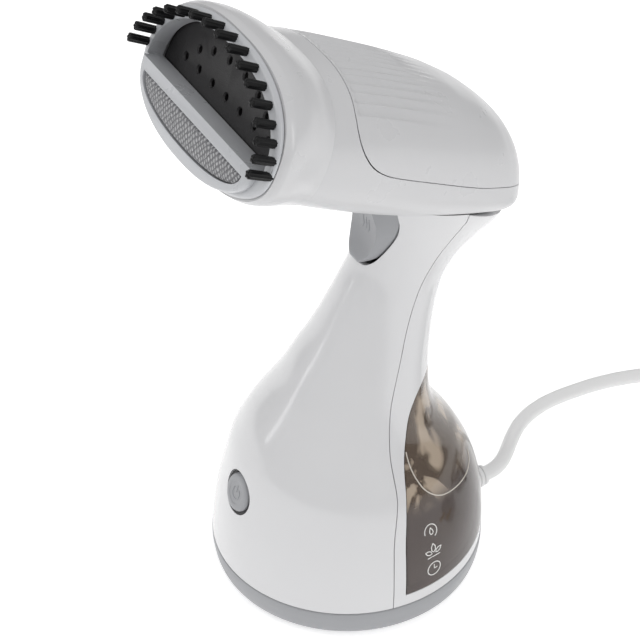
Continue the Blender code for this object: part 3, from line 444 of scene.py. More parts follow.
def smoked():
    """Smoked clear tank wall: brown and even low down; above the water, beige with slow waves that
    are painted reflection and painted caustic light.
    """
    mat, tree, shader = new_material("smoked_wall")
    where = add(tree, "ShaderNodeTexCoord")
    split = add(tree, "ShaderNodeSeparateXYZ")
    tree.links.new(where.outputs["Object"], split.inputs["Vector"])
    height = add(tree, "ShaderNodeMapRange", interpolation_type='SMOOTHSTEP')
    height.inputs["From Min"].default_value = (WATER_Z - 1) * MM
    height.inputs["From Max"].default_value = (WATER_Z + 9) * MM
    tree.links.new(split.outputs["Z"], height.inputs["Value"])
    # Slow wavy noise: lays out the painted caustics and painted reflections above the water, and a
    # faint bump.
    waves = noise(tree, 38.0, 2.0, (1, 1, 0.5), (0.5, 0.0, 0.0))
    waves.inputs["Distortion"].default_value = 2.2
    painted_caustic_mask = add(tree, "ShaderNodeValToRGB")
    for element, spot, shade in zip(painted_caustic_mask.color_ramp.elements, (0.44, 0.54), (0.0, 1.0)):
        element.position, element.color = spot, (shade, shade, shade, 1)
    tree.links.new(waves.outputs["Fac"], painted_caustic_mask.inputs["Fac"])
    # Painted reflection and caustics: beige light streaks mixed into the wall's colour over the dark
    # smoke, above the water.
    upper = add(tree, "ShaderNodeMix", data_type='RGBA')
    upper.inputs["A"].default_value = (0.13, 0.095, 0.07, 1)
    upper.inputs["B"].default_value = (0.55, 0.45, 0.35, 1)
    tree.links.new(painted_caustic_mask.outputs["Color"], upper.inputs["Factor"])
    body = add(tree, "ShaderNodeMix", data_type='RGBA')
    body.inputs["A"].default_value = (0.085, 0.062, 0.055, 1)
    tree.links.new(height.outputs["Result"], body.inputs["Factor"])
    tree.links.new(upper.outputs["Result"], body.inputs["B"])
    tree.links.new(body.outputs["Result"], shader.inputs["Base Color"])
    bump(tree, shader, waves.outputs["Fac"], 0.05, 0.0004)
    shader.inputs["Roughness"].default_value = 0.12
    shader.inputs["Alpha"].default_value = 0.72
    shader.inputs["Coat Weight"].default_value = 0.5
    shader.inputs["Coat Roughness"].default_value = 0.04
    return mat


WHITE = moulded("shell_white", (0.68, 0.68, 0.69), 0.20, coat=0.4, relief=0.05, vary=0.012)
HEAD_WHITE = moulded("head_white", (0.59, 0.59, 0.60), 0.30, grain=1600.0, relief=0.08, coat=0.15,
                     vary=0.012)
GREY = moulded("grey_satin", (0.33, 0.335, 0.35), 0.38, grain=2200.0, relief=0.2)
LIGHT_GREY = moulded("frame_grey", (0.50, 0.51, 0.53), 0.30, relief=0.06, coat=0.3)
BLACK = moulded("black_satin", (0.012, 0.012, 0.013), 0.42, relief=0.2)
NYLON = moulded("black_nylon", (0.003, 0.003, 0.0035), 0.40, grain=3000.0, relief=0.3)
NYLON.node_tree.nodes["Principled BSDF"].inputs["Specular IOR Level"].default_value = 0.25
PLATE = moulded("plate_coating", (0.012, 0.011, 0.012), 0.40, grain=2600.0, relief=0.4, vary=0.25)
RUBBER = moulded("foot_rubber", (0.03, 0.03, 0.03), 0.8, grain=3000.0, relief=0.5)
SILICONE = moulded("milky_silicone", (0.72, 0.72, 0.70), 0.5, relief=0.2)
INNER = moulded("inner_plastic", (0.66, 0.67, 0.68), 0.5, relief=0.3)
BOARD = moulded("board_green", (0.02, 0.17, 0.07), 0.4, grain=500.0, relief=0.5, vary=0.3)
SHEATH = moulded("cord_white", (0.78, 0.78, 0.78), 0.40, grain=1500.0, relief=0.2)
BLUE = moulded("wire_blue", (0.02, 0.08, 0.36), 0.45)
BROWN = moulded("wire_brown", (0.16, 0.07, 0.03), 0.45)
CAST = moulded("cast_metal", (0.62, 0.63, 0.64), 0.45, grain=700.0, relief=0.7, metallic=1.0)
STEEL = brushed("steel", (0.60, 0.60, 0.62), 0.3)
BRASS = brushed("brass", (0.72, 0.54, 0.25), 0.28)
COPPER = brushed("copper_wire", (0.68, 0.33, 0.17), 0.35, (1, 1, 60))
PRINT = moulded("print_white", (0.86, 0.86, 0.84), 0.5)
FAINT = moulded("print_grey", (0.36, 0.37, 0.39), 0.5)
SMOKE = smoked()
LINT = lint_cloth()

FINISH = {
    "white_shell": WHITE, "white_head": HEAD_WHITE, "grey_plastic": GREY, "frame_grey": LIGHT_GREY,
    "smoked_tank": SMOKE, "coated_plate": PLATE, "black_plastic": BLACK, "bristle_nylon": NYLON,
    "lint_fabric": LINT, "cast_aluminium": CAST, "steel": STEEL, "brass": BRASS,
    "copper_winding": COPPER, "black_rubber": RUBBER, "silicone": SILICONE,
    "inner_plastic": INNER, "circuit_board": BOARD, "cord_sheath": SHEATH, "wire_blue": BLUE,
    "wire_brown": BROWN,
}


def finish_nodes():
    """Give every CAD node its worked-up material and smooth round faces."""
    for part in frame["record"]["subparts"]:
        obj = NODES[part["node"]]
        obj.data.materials.clear()
        obj.data.materials.append(FINISH[part["material_slot"]])
        obj.data.shade_smooth()
        obj.data.set_sharp_from_angle(angle=math.radians(32))


# ---------------------------------------------------------------- mains cord
ROUTE = [
    (0, 52, 8.4), (0, 59, 8.4), (0, 66.5, 8.4), (-1.8, 73.5, 7.5), (-6.2, 80.4, 5.6),
    (-12.2, 87.0, 4.1), (-18.8, 93.8, 3.4), (-24.8, 101.2, 3.3), (-29.2, 109.6, 3.3),
    (-31.9, 118.6, 3.3), (-33.0, 127.8, 3.3), (-33.0, 137.0, 3.3), (-32.6, 146.2, 3.3),
    (-31.4, 155.2, 3.3), (-29.4, 164.2, 3.3), (-26.7, 172.9, 3.3), (-23.2, 181.4, 3.3),
    (-18.9, 189.5, 3.3), (-14.0, 197.2, 3.3), (-8.4, 204.5, 3.3), (-2.1, 212.0, 3.6),
    (8.15, 224.2, 4.3),
]
COIL_AT = (50.0, 210.0)
COIL_INNER, COIL_OUTER = 34.6, 41.2     # radii of the coil's two columns of turns
COIL_LOW, LAYER, LAYERS = 1.5, 6.65, 4  # it lies on its tie, in layers a little over a cord apart
COIL_START = math.radians(140)          # where the lead meets the coil, which runs clockwise
TAIL_ANGLE, TAIL_LONG = math.radians(5), 54.0
PLUG_Z, PLUG_BACK = 17.2, 26.0          # height of the plug's axis, and its length behind it
TURN_STEPS = 24                         # points in each turn of the coil

# When the winding changes column and layer, in turns from where it starts.
COLUMNS = [(0.78, 0.98, COIL_INNER), (2.4, 2.6, COIL_OUTER), (4.0, 4.2, COIL_INNER),
           (5.6, 5.8, COIL_OUTER)]
LIFTS = [(1.6, 1.78), (3.2, 3.4), (4.8, 5.0)]


def ease(t):
    t = min(1.0, max(0.0, t))
    return t * t * (3 - 2 * t)


def coil_place(angle, radius, z):
    return Vector((COIL_AT[0] + radius * math.cos(angle), COIL_AT[1] + radius * math.sin(angle), z))


def coil_path():
    """Six turns, clockwise from above: outer and inner column in each layer by turns."""
    last = 6 + (COIL_START - TAIL_ANGLE) / (2 * math.pi)
    count = round(last * TURN_STEPS)
    points = []
    for k in range(count + 1):
        turn = last * k / count
        radius = COIL_OUTER
        for start, stop, goal in COLUMNS:
            radius += (goal - radius) * ease((turn - start) / (stop - start))
        layer = sum(ease((turn - start) / (stop - start)) for start, stop in LIFTS)
        angle = COIL_START - 2 * math.pi * turn
        points.append(coil_place(angle, radius, COIL_LOW + LAYER * (layer + 0.5)))
    return points


def tail_path():
    """The cord's end: straight off the coil's top outer turn and down to the plug."""
    top = COIL_LOW + LAYER * (LAYERS - 0.5)
    way = Vector((math.sin(TAIL_ANGLE), -math.cos(TAIL_ANGLE), 0))
    points = []
    for k in range(10):
        along = TAIL_LONG * k / 9
        z = top - (top - PLUG_Z) * ease((along - 14) / (TAIL_LONG - 14))
        points.append(coil_place(TAIL_ANGLE, COIL_OUTER, z) + way * along)
    return points, way


def cord():
    tail, way = tail_path()
    points = ROUTE + [tuple(p) for p in coil_path() + tail[1:] + [tail[-1] + way * 8]]
    lead = line("mains_cord", blend_rows(points, 3), CORD_D / 2, SHEATH, "main",
                resolution=5)
    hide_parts("cord_lead", "cord_coil")
    body = plug(tail[-1] + way * (PLUG_BACK + 4.0), way)
    gland()


def gland():
    """Tapered strain relief with cross ribs and slots between them."""
    bore = CORD_D / 2 + 0.05
    profile = [(bore, -7.6), (5.4, -7.6), (5.4, -3.4), (4.25, -3.4), (4.25, 4.0), (5.8, 4.0),
               (5.8, 5.6)]
    for k in range(4):
        r = 5.5 - 0.32 * k
        profile += [(r - 0.7, 5.9 + 2.2 * k), (r - 0.7, 6.6 + 2.2 * k), (r - 0.1, 6.9 + 2.2 * k),
                    (r - 0.15, 8.0 + 2.2 * k)]
    profile += [(bore + 0.2, 14.9), (bore, 14.6)]
    piece("strain_relief", turned("gland", profile, (0, 52.6, GLAND_Z), (0, 1, 0), 48), SHEATH,
          "main", ["cord_gland"])


def plug(at, way):
    """Round moulded plug with a ribbed grip."""
    profile = [(0, -PLUG_BACK), (4.2, -PLUG_BACK)]
    for k in range(4):
        r = 4.4 + 0.25 * k
        profile += [(r, -25.6 + 3 * k), (r + 0.1, -24.2 + 3 * k), (r - 0.7, -23.9 + 3 * k),
                    (r - 0.6, -23.1 + 3 * k)]
    profile += [(5.3, -13.6), (8.5, -4), (16.0, 2), (18.2, 6), (18.4, 20), (17.2, 22.6), (0, 22.6)]
    across = Vector((-way.y, way.x, 0))
    body = turned("plug", rounded(profile, 1.2), at, way, 64, 0.92)
    holes = [rod("h", at + across * (9.5 * side) + way * 8, way, 2.7, 30, 24) for side in (-1, 1)]
    return piece("plug_moulding", carve(body, holes), SHEATH, "main", ["plug_body"])


# ---------------------------------------------------------------- shared surfaces
def body_rings(inset=0.0, steps=120, per_span=4):
    rings = []
    for z, y, tilt, a, b in blend_rows(BODY, per_span):
        c, s = math.cos(math.radians(tilt)), math.sin(math.radians(tilt))
        ring = []
        for j in range(steps):
            t = 2 * math.pi * j / steps
            d = (b - inset) * math.sin(t)
            ring.append(((a - inset) * math.cos(t), y + d * c, z - d * s))
        rings.append(ring)
    return rings


def body_point(height, angle, out=0.0):
    """A point on the body's outside at a height below the neck, round from +X."""
    rows = blend_rows(BODY, 12)
    above = next(k for k, row in enumerate(rows) if row[0] > height)
    low, high = rows[above - 1], rows[above]
    part = (height - low[0]) / (high[0] - low[0])
    _, y, _, a, b = [p + (q - p) * part for p, q in zip(low, high)]
    t = math.radians(angle)
    return Vector(((a + out) * math.cos(t), y + (b + out) * math.sin(t), height))


def body_solid(inset=0.0, steps=120):
    return rings_mesh("body", body_rings(inset, steps))


def body_tube():
    return rings_mesh("skin", body_rings(0, 120) + body_rings(SHELL_T, 120)[::-1], closed=True)


def shift_line(path, dy):
    return [(y + dy, z) for y, z in path]


FLUTES, FLUTE_DEPTH, FLUTE_START = 16, 1.25, 38.6


def flute(x, a, s):
    """How deep the top cover's fluting is at x across and s along."""
    t = x / a
    if abs(t) > 0.8:
        return 0.0
    across = 2 * ((t * FLUTES / 1.6) % 1.0) - 1
    rise = min(1.0, max(0.0, (s - FLUTE_START) / 1.4))
    fade = min(1.0, max(0.0, (88.0 - s) / 34.0))
    return FLUTE_DEPTH * (1 - across * across) ** 0.8 * rise * fade


def head_ring(s, a, up, down, inset=0.0, ribs=False, bulge=2.45, steps=320):
    a, up, down = a - inset, up - inset, down - inset
    lean = 0.42 * min(1.0, max(0.0, (s - 92.0) / 28.0))
    ring = []
    for j in range(steps):
        t = 2 * math.pi * j / steps
        c, q = math.cos(t), math.sin(t)
        x = a * math.copysign(abs(c) ** (2 / bulge), c)
        v = (up if q > 0 else -down) * abs(q) ** (2 / bulge)
        if ribs and q > 0:
            v -= flute(x, a, s)
        ring.append(head_point(x, s - lean * v, v))
    return ring


def head_rows():
    """Head sections close together, read from a smooth curve through the table."""
    return blend_rows(HEAD, 10)


def head_outer(inset=0.0, ribs=True, steps=320):
    return rings_mesh("head", [head_ring(*row, inset=inset, ribs=ribs, steps=steps)
                               for row in head_rows()])


def head_inner():
    rows = [row for row in head_rows() if row[0] < 124][::4]
    rings = [head_ring(*row, inset=SHELL_T, steps=96) for row in rows]
    s, a, up, down = rows[0]
    rings[0] = head_ring(s - 2.0, a, up, down, inset=SHELL_T, steps=96)
    return rings_mesh("hollow", rings)


# ---------------------------------------------------------------- body
# The lever from its tip up: height, half width and y of its face, the same of its sides, y behind.
LEVER = [
    (145.4, 2.4, 3.7, 3.4, 5.0, 5.9), (145.9, 3.4, 3.0, 4.4, 5.0, 6.2),
    (148.6, 6.2, 4.2, 7.8, 7.3, 8.8), (152.5, 8.0, 5.8, 10.0, 9.7, 11.6),
    (157.0, 9.1, 7.1, 12.0, 11.8, 13.6), (161.8, 9.3, 7.6, 13.8, 13.3, 16.5),
    (166.4, 8.2, 7.0, 14.7, 13.9, 18.5), (170.9, 6.6, 6.0, 14.8, 13.5, 17.0),
    (174.5, 5.8, 5.4, 14.8, 13.2, 16.0),
]
# The lever's opening in the shell, seen from the front: height and half width.
LEVER_GATE = [(144.3, 2.9), (144.8, 5.4), (147.3, 8.2), (151.2, 10.4), (155.7, 12.4), (160.5, 14.2),
              (165.1, 15.1), (169.6, 15.2), (180.0, 15.2)]
SCOOP, SCOOP_SPAN = 1.1, (147.0, 174.0)     # depth of the face's hollow, and its heights
TRIGGER_PIVOT = Vector((0, 17.4, 168.2))
TRIGGER_TURN = math.radians(5.2)            # how far the lever swings when it is squeezed


def lever_face(row, share):
    """y on the lever's face at a share of its half width; the hollow fades up and down."""
    z, front = row[0], row[2]
    low, high = SCOOP_SPAN
    hollow = SCOOP * math.sin(math.pi * min(1.0, max(0.0, (z - low) / (high - low))))
    return front + hollow * (1 - share * share)


def lever():
    """The finger lever: a scooped face, sides that slope back to the neck's sides."""
    rings = []
    for row in blend_rows(LEVER, 4):
        z, face, front, side, edge, back = row
        right = [(face * k / 8, lever_face(row, k / 8)) for k in range(9)]
        right[-1] = (face - 0.3, front + 0.05)
        right += [(face + 0.1, front + 0.3), (face + 0.4, front + 0.9), (side, edge), (side, back)]
        ring = [(-x, y) for x, y in reversed(right)] + right[1:]
        rings.append([(x, y, z) for x, y in ring])
    room = head_outer(-0.6, ribs=False, steps=120)
    return carve(rings_mesh("lever", rings), [room])


def lever_gate():
    """What the lever's opening takes out of the shell."""
    right = [(x, z) for z, x in blend_rows(LEVER_GATE, 3)]
    outline = [(-x, z) for x, z in reversed(right)] + right
    return slab("gate", outline, -20, 18, lambda a, b, h: (a, h, b))


def lever_room():
    """Space behind the shell's skin for the lever when it is squeezed home."""
    middle, grow = Vector((0, 10, 160)), Matrix.Scale(1.03, 4)
    home = lever()
    home.transform(Matrix.Translation(TRIGGER_PIVOT) @ Matrix.Rotation(TRIGGER_TURN, 4, 'X')
                   @ Matrix.Translation(middle - TRIGGER_PIVOT) @ grow
                   @ Matrix.Translation(-middle))
    return carve(home, [body_solid(0.7)], 'INTERSECT')


def trigger():
    """Finger lever with three rising waves on its face."""
    piece("finger_trigger", lever(), GREY, "trigger", ["trigger"], edge=40)
    rows = blend_rows(LEVER, 12)
    for n in (-1, 0, 1):
        path = []
        for k in range(9):
            row = min(rows, key=lambda r: abs(r[0] - (157.5 + 0.6 * k)))
            x = 2.1 * n + 0.5 * math.sin(math.pi * k / 4)
            path.append((x, lever_face(row, x / row[1]) - 0.02, row[0]))
        line(f"trigger_mark_{n + 2}", path, 0.2, FAINT, "trigger")


def button_axis():
    return Vector((0, -math.cos(BUTTON_TILT), math.sin(BUTTON_TILT)))


def button_point(out):
    return Vector((0, -48.6, 49.5)) + button_axis() * out


def shells():
    front_cut = side_slab("f", blend_rows(SEAM, 4) + [(-80, 210), (-80, 10)])
    rear_cut = side_slab("r", shift_line(blend_rows(SEAM, 4), GAP) + [(90, 210), (90, 10)])
    window = side_slab("w", blend_rows(WINDOW, 5) + [(90, 98), (90, 19.3)])
    below = head_slab("b", [(-80, -11.5), (80, -11.5), (80, 60), (-80, 60)], 70, 160)
    head_room = head_outer(-GAP, ribs=False, steps=120)
    eye = rod("eye", button_point(-12), button_axis(), BUTTON_R + 1.4, 24, 64)
    front = carve(body_tube(), [front_cut], 'INTERSECT')
    front = carve(front, [head_room, lever_gate(), lever_room(), eye])
    piece("front_casing", front, WHITE, "main", ["front_shell"], edge=40)
    shelf = head_slab("shelf", [(-60, -14.5), (60, -14.5), (60, -11), (-60, -11)], 114, 160)
    shelf = carve(body_solid(0.4), [shelf], 'INTERSECT')
    rear = carve(body_tube(), [rear_cut], 'INTERSECT')
    rear = carve(carve(rear, [shelf], 'UNION'), [window, head_room, below])
    piece("rear_casing", rear, WHITE, "main", ["rear_frame"], edge=40)


def foot():
    r, h = FOOT_R, FOOT_H
    outline = rounded([(0, 0.8), (50.4, 0.8), (52.8, 1.6), (54.4, 3.4), (55.2, 6.0), (r, 10.5),
                       (r, h), (r - 2.6, h), (r - 2.6, 5.6), (50.4, 3.8), (0, 3.8)], 0.8)
    cup = turned("foot", outline, (0, 0, 0), (0, 0, 1), 160)
    cutters = [rod("bore", (0, 48, GLAND_Z), (0, 1, 0), 4.6, 20, 32),
               rod("recess", (0, 43.6, GLAND_Z), (0, 1, 0), 5.8, 6.4, 32)]
    for k in range(3):
        t = math.radians(120 * k)
        x, y = 40.0 * math.cos(t), 40.0 * math.sin(t)
        cutters.append(rod("sink", (x, y, -1), (0, 0, 1), 3.6, 2.9, 32))
        t += math.radians(60)
        cutters.append(rod("seat", (43 * math.cos(t), 43 * math.sin(t), -1), (0, 0, 1), 6.3, 2.9))
    piece("foot_cup", carve(cup, cutters), GREY, "main", ["base_shell"])


# ---------------------------------------------------------------- tank
# The painted highlight on each side of the tank's wall, a light glint drawn as a thin line, as
# (angle round the body, height).
TANK_GLINT = [(13.5, 75.0), (12.5, 70.0), (12.6, 65.0), (14.0, 60.5), (18.0, 56.5), (23.0, 54.2),
             (30.0, 52.8), (38.0, 51.8), (46.0, 51.3), (53.0, 52.0), (58.0, 54.0)]


def tank():
    outer, inner = body_solid(0.0), body_solid(2.0)
    edge = blend_rows(WINDOW[:-1], 5)
    room = shift_line(edge, GAP)
    outside = [(room[0][0], 19.7)] + room[1:] + [(33.5, 97.4), (90, 97.4), (90, 19.7)]
    hollow = shift_line(blend_rows(WINDOW[:-2], 5), GAP + 2.0)
    inside = [(hollow[0][0], 21.7)] + hollow[1:] + [(30.0, 92.6), (90, 92.6), (90, 21.7)]
    vessel = carve(outer, [side_slab("o", outside)], 'INTERSECT')
    water_room = carve(inner, [side_slab("i", inside)], 'INTERSECT')
    into = Vector((0, 0.978, -0.207))
    port = rod("p", Vector((0, 1.65, 59.5)) - into * 6, into, 7.9, 16, 48)
    outlet = rod("o", (18, -12, 27), (0, 1, 0), 3.4, 20, 32)
    piece("tank_wall", carve(vessel, [water_room, port, outlet]), SMOKE, "tank", ["water_tank"],
          edge=40)
    water = carve(body_solid(2.15), [side_slab("level", [
        (hollow[0][0] + 0.2, 21.9)] + [p for p in shift_line(hollow[1:], 0.2) if p[1] < WATER_Z]
        + [(1.5, WATER_Z), (90, WATER_Z), (90, 21.9)])], 'INTERSECT')
    piece("tank_water", water, WATER, "tank", edge=40)
    # Painted highlight: a thin, light, glossy line along each side of the tank wall stands for a
    # glint.
    for name, way in (("painted_glint_1", 1), ("painted_glint_2", -1)):
        glint_path = [body_point(z, 90 + way * (angle - 90), -0.05)
               for angle, z in blend_rows(TANK_GLINT, 5)]
        line(name, glint_path, 0.26, GLINT_PAINT, "tank")
    icons()


def icon_point(z, centre, dx, dy):
    """A place on the tank's outside, dx mm towards the back and dy mm up from an icon's middle."""
    radius = 52.0
    return body_point(z + dy, centre + math.degrees(dx / radius), 0.02)


def icons():
    """Generic pictograms on the tank: water, steam and time."""
    def arc(cx, cy, r, start, stop, steps=24):
        return [(cx + r * math.cos(math.radians(start + (stop - start) * k / steps)),
                 cy + r * math.sin(math.radians(start + (stop - start) * k / steps)))
                for k in range(steps + 1)]
    drop = [(0.0, 2.2), (1.1, 0.4), (1.2, -0.6), (0.6, -1.4), (-0.3, -1.4), (-0.9, -0.6),
            (-0.8, 0.5), (0.0, 2.2)]
    leaf = [(0.0, 2.6), (1.0, 1.0), (0.9, -0.6), (0.0, -1.6), (-0.9, -0.6), (-1.0, 1.0), (0.0, 2.6)]

    def turn(path, angle, cx, cy, size=1.0):
        c, s = math.cos(math.radians(angle)), math.sin(math.radians(angle))
        return [(cx + size * (x * c - y * s), cy + size * (x * s + y * c)) for x, y in path]
    strokes = [
        (44.2, arc(0, 0, 3.0, -60, 190)), (44.2, turn(drop, 0, 0.1, -0.2, 0.8)),
        (35.6, turn(leaf, 0, 0.0, 0.7, 0.95)), (35.6, turn(leaf, 62, -2.0, -0.6, 0.8)),
        (35.6, turn(leaf, -62, 2.0, -0.6, 0.8)), (35.6, [(-3.0, -2.7), (3.0, -2.7)]),
        (27.0, arc(0, 0, 3.0, 0, 360)), (27.0, [(0, 1.9), (0, 0), (1.4, 0)]),
    ]
    for n, (z, path) in enumerate(strokes, 1):
        points = [icon_point(z, 9.6, x, y) for x, y in path]
        line(f"tank_icon_{n}", points, 0.2, PRINT, "tank")


def water_material():
    mat, tree, shader = new_material("tank_water")
    ripple = noise(tree, 90.0, 2.0)
    tint(tree, shader, ripple.outputs["Fac"], (0.055, 0.040, 0.032), (0.085, 0.065, 0.052))
    bump(tree, shader, ripple.outputs["Fac"], 0.2, 0.0006)
    shader.inputs["Roughness"].default_value = 0.05
    shader.inputs["IOR"].default_value = 1.33
    shader.inputs["Alpha"].default_value = 0.8
    return mat


WATER = water_material()
# Light colour of the painted highlight line (glint) on the tank wall.
GLINT_PAINT = moulded("painted_glint", (0.62, 0.58, 0.52), 0.15)


# ---------------------------------------------------------------- power button
def power_button():
    axis, seat = button_axis(), button_point(0.6)
    cap = turned("cap", rounded([
        (0, 0.35), (4.6, 0.42), (4.9, 0.62), (BUTTON_R - 1.6, 0.62), (BUTTON_R - 0.6, 0.35),
        (BUTTON_R, -0.7), (BUTTON_R, -3.6), (2.2, -3.6), (2.2, -9.9), (0, -9.9)], 0.35),
        seat, axis, 96)
    piece("button_cap", cap, GREY, "button", ["power_button"], edge=50)
    ring = turned("ring", [
        (BUTTON_R + 0.3, -0.9), (BUTTON_R + 1.2, -0.7), (BUTTON_R + 1.2, -4.5),
        (BUTTON_R + 3.2, -4.5), (BUTTON_R + 3.2, -5.6), (BUTTON_R + 0.3, -5.6)],
        button_point(0.2), axis, 96)
    piece("button_collar", ring, BLACK, "main", ["button_ring"])
    side, up = Vector((1, 0, 0)), Vector((0, math.sin(BUTTON_TILT), math.cos(BUTTON_TILT)))

    def spot(x, y):
        return seat + axis * 0.42 + side * x + up * y
    arc = [spot(2.5 * math.sin(math.radians(a)), 2.5 * math.cos(math.radians(a)) - 0.3)
           for a in range(38, 323, 12)]
    line("button_mark_1", arc, 0.24, FAINT, "button")
    line("button_mark_2", [spot(0, 0.2), spot(0, 2.9)], 0.24, FAINT, "button")


# ---------------------------------------------------------------- head
# Parting line of the top cover from its front edge back along the side, as (s, v).
COVER_LINE = [(37.6, 60), (37.6, 40), (37.6, 20), (38.4, 16), (40.4, 12), (43.6, 8.4), (47.8, 5.4),
              (53, 3.5), (60, 2.6), (75, 2.3), (100, 2.2), (118, 3.4), (160, 5.0)]


def shift(path, by):
    return [(s + by, v + by) for s, v in path[:3] + blend_rows(path[2:], 5)[1:]]


def head_profile(name, outline):
    """A cutter with an outline in the head's side view, right across the head."""
    return slab(name, outline, -60, 60, lambda s, v, x: head_point(x, s, v))


def head():
    upper = head_profile("up", shift(COVER_LINE, -0.16) + [(160, 60)])
    lower = head_profile("low", shift(COVER_LINE, 0.16) + [(160, -60), (0, -60), (0, 60)])
    hole = slab("hole", [(-15, 84), (15, 84), (15, 112), (-15, 112)], -30, -6,
                point=lambda x, s, v: head_point(x, s, v))
    skin = carve(head_outer(), [head_inner()])
    piece("head_lower", carve(skin.copy(), [upper, hole]), HEAD_WHITE, "main", ["head_housing"],
          edge=40)
    piece("head_cover", carve(skin, [lower]), HEAD_WHITE, "main", ["top_cover"],
          edge=40)
    rows = [(5.0, 49.1, 28.9, 20.7), (7.0, 50.1, 29.9, 21.3), (9.0, 50.2, 30.4, 21.4),
            (14.0, 48.6, 30.7, 21.7), (20.0, 45.6, 29.7, 22.1), (25.0, 43.3, 28.3, 22.4),
            (28.6, 42.2, 27.4, 22.5)]
    dense = blend_rows(rows, 5)
    rings = [[head_point(x, s, v) for x, v in oval(a, u, d, 90, 2.45)] for s, a, u, d in dense]
    inner = [[head_point(x, s, v) for x, v in oval(a - 2.1, u - 2.1, d - 2.1, 90, 2.45)]
             for s, a, u, d in (rows[0], rows[3], rows[6])]
    piece("nose_ring", rings_mesh("ring", rings + inner[::-1], closed=True), HEAD_WHITE, "main",
          ["front_ring"], edge=40)


def plate():
    outline = oval(45.6, 25.6, 17.6, 80)
    body = rings_mesh("plate", [[head_point(x * k, s, v * k) for x, v in outline]
                                for s, k in ((9.6, 0.975), (9.75, 0.985), (10.2, 1.0), (12.4, 1.0))])
    spots = [(-31.8 + 10.6 * k, 4.6) for k in range(7)]
    spots += [(31.0 * math.cos(math.radians(a)), 3.0 + 13.0 * math.sin(math.radians(a)))
              for a in range(35, 146, 22)]
    holes = [turned("h", [(0, 0), (2.0, 0), (1.3, 0.8), (1.3, 8), (0, 8)],
                    head_point(x, 9.4, v), HEAD_AXIS, 24) for x, v in spots]
    piece("hot_plate", carve(body, holes), PLATE, "main", ["steam_plate"])


# ---------------------------------------------------------------- clip-on attachment
def attachment():
    sections = blend_rows([(2.7, 46.9, 27.0, 19.2), (3.0, 47.9, 27.7, 19.7),
                           (3.7, 48.75, 28.35, 20.2), (4.65, 48.9, 28.5, 20.3)], 3)
    sections += [(4.67, 46.5, 26.2, 18.1), (9.2, 46.1, 25.8, 17.9)]
    body = rings_mesh("frame", [[head_point(x, s, v) for x, v in oval(a, u, d, 90)]
                                for s, a, u, d in sections])
    lip = half_oval(43.4, 18.8, 80, False, BAR_V[0], 2.25)[::-1]
    chin = rings_mesh("chin", [
        [head_point(x * k, s, BAR_V[0] + (v - BAR_V[0]) * k) for x, v in lip]
        for s, k in ((0.0, 0.965), (0.2, 0.985), (0.9, 1.0), (4.2, 1.0))])
    body = carve(body, [chin], 'UNION')
    opening = head_slab("open", half_oval(45.3, 23.6 - BAR_V[0], 90, True, BAR_V[0], 2.3), -4, 14)
    vent = head_slab("vent", half_oval(36.0, 9.0, 40, False, BAR_V[0] - 3, 2.2)[::-1], 6.6, 14)
    seat = head_slab("seat", half_oval(PAD_A, PAD_V, 80, False, BAR_V[1], 2.2)[::-1], -4, 3.4)
    piece("clip_frame", carve(body, [opening, vent, seat]), LIGHT_GREY, "attachment",
          ["attachment_frame"], edge=40)
    top = BAR_V[1] - GAP
    outline = half_oval(PAD_A - 0.4, PAD_V - 0.8, 80, False, top, 2.2)[::-1]
    pad = [[head_point(x * k, s, -11.0 + (v + 11.0) * k) for x, v in outline]
           for s, k in ((3.0, 1.0), (1.4, 1.0), (0.9, 0.99), (0.5, 0.96), (0.2, 0.90),
                        (0.0, 0.80), (-0.15, 0.6), (-0.22, 0.3))]
    piece("lint_cushion", rings_mesh("pad", pad), LINT, "attachment", ["lint_pad"],
          edge=60)
    bristles()


def bristles():
    """Seventeen tufts of stiff nylon, each a fluted bundle with a blunt, uneven end."""
    count, length, r = 17, 9.4, 1.5
    ring, steps = [], 90
    for side in (0.9, -1.6):
        for k in (range(steps + 1) if side > 0 else range(steps, -1, -1)):
            t = math.radians(-4 + 188 * k / steps)
            n = Vector((TRACK_B * math.cos(t), TRACK_A * math.sin(t))).normalized()
            ring.append((TRACK_A * math.cos(t) + side * n.x, TRACK_B * math.sin(t) + side * n.y))
    verts, faces = [], []
    for k in range(count):
        t = math.radians(-1.5 + 178.5 * k / (count - 1))
        splay = Vector((0.06 * math.cos(t), 0, 0)) + HEAD_UP * (0.03 * math.sin(t))
        axis = (-HEAD_AXIS + splay).normalized()
        base = head_point(TRACK_A * math.cos(t), 4.6, TRACK_B * math.sin(t))
        side, up = basis(axis)
        sides, levels = 36, ((0.0, 0.9), (1.2, 1.0), (length - 0.5, 1.05), (length, 0.98),
                             (length + 0.25, 0.7), (length + 0.3, 0.35))
        start = len(verts)
        for n, (h, k2) in enumerate(levels):
            for j in range(sides):
                a = 2 * math.pi * j / sides
                flutes = 1 + 0.07 * math.cos(9 * a)
                lift = 0.16 * math.sin(5 * a + k) if n > 2 else 0.0
                verts.append(base + axis * (h + lift) + (side * math.cos(a) + up * math.sin(a))
                             * (r * k2 * flutes))
        for n in range(len(levels) - 1):
            for j in range(sides):
                q = start + n * sides
                faces.append((q + j, q + (j + 1) % sides, q + sides + (j + 1) % sides,
                              q + sides + j))
        faces.append(tuple(start + j for j in range(sides))[::-1])
        faces.append(tuple(start + (len(levels) - 1) * sides + j for j in range(sides)))
    tufts = to_mesh("tufts", verts, faces)
    strip = head_slab("strip", ring, 3.3, 4.6)
    piece("bristle_tufts", tufts, NYLON, "attachment", ["bristle_strip"], edge=50)
    piece("bristle_base", strip, NYLON, "attachment")


# ---------------------------------------------------------------- stage
FLOOR_GLOW = 0.46
SKY = (0.22, 0.80)
LAMPS = (
    ("key", (-0.9, -1.1, 1.5), (0, 0, 0.12), (1.0, 0.7), 3.0),
    ("strip_right", (0.75, 0.15, 0.75), (0, 0, 0.10), (0.10, 0.8), 1.6),
    ("strip_left", (-0.5, -0.9, 0.6), (0, 0, 0.12), (0.10, 0.8), 0.8),
)


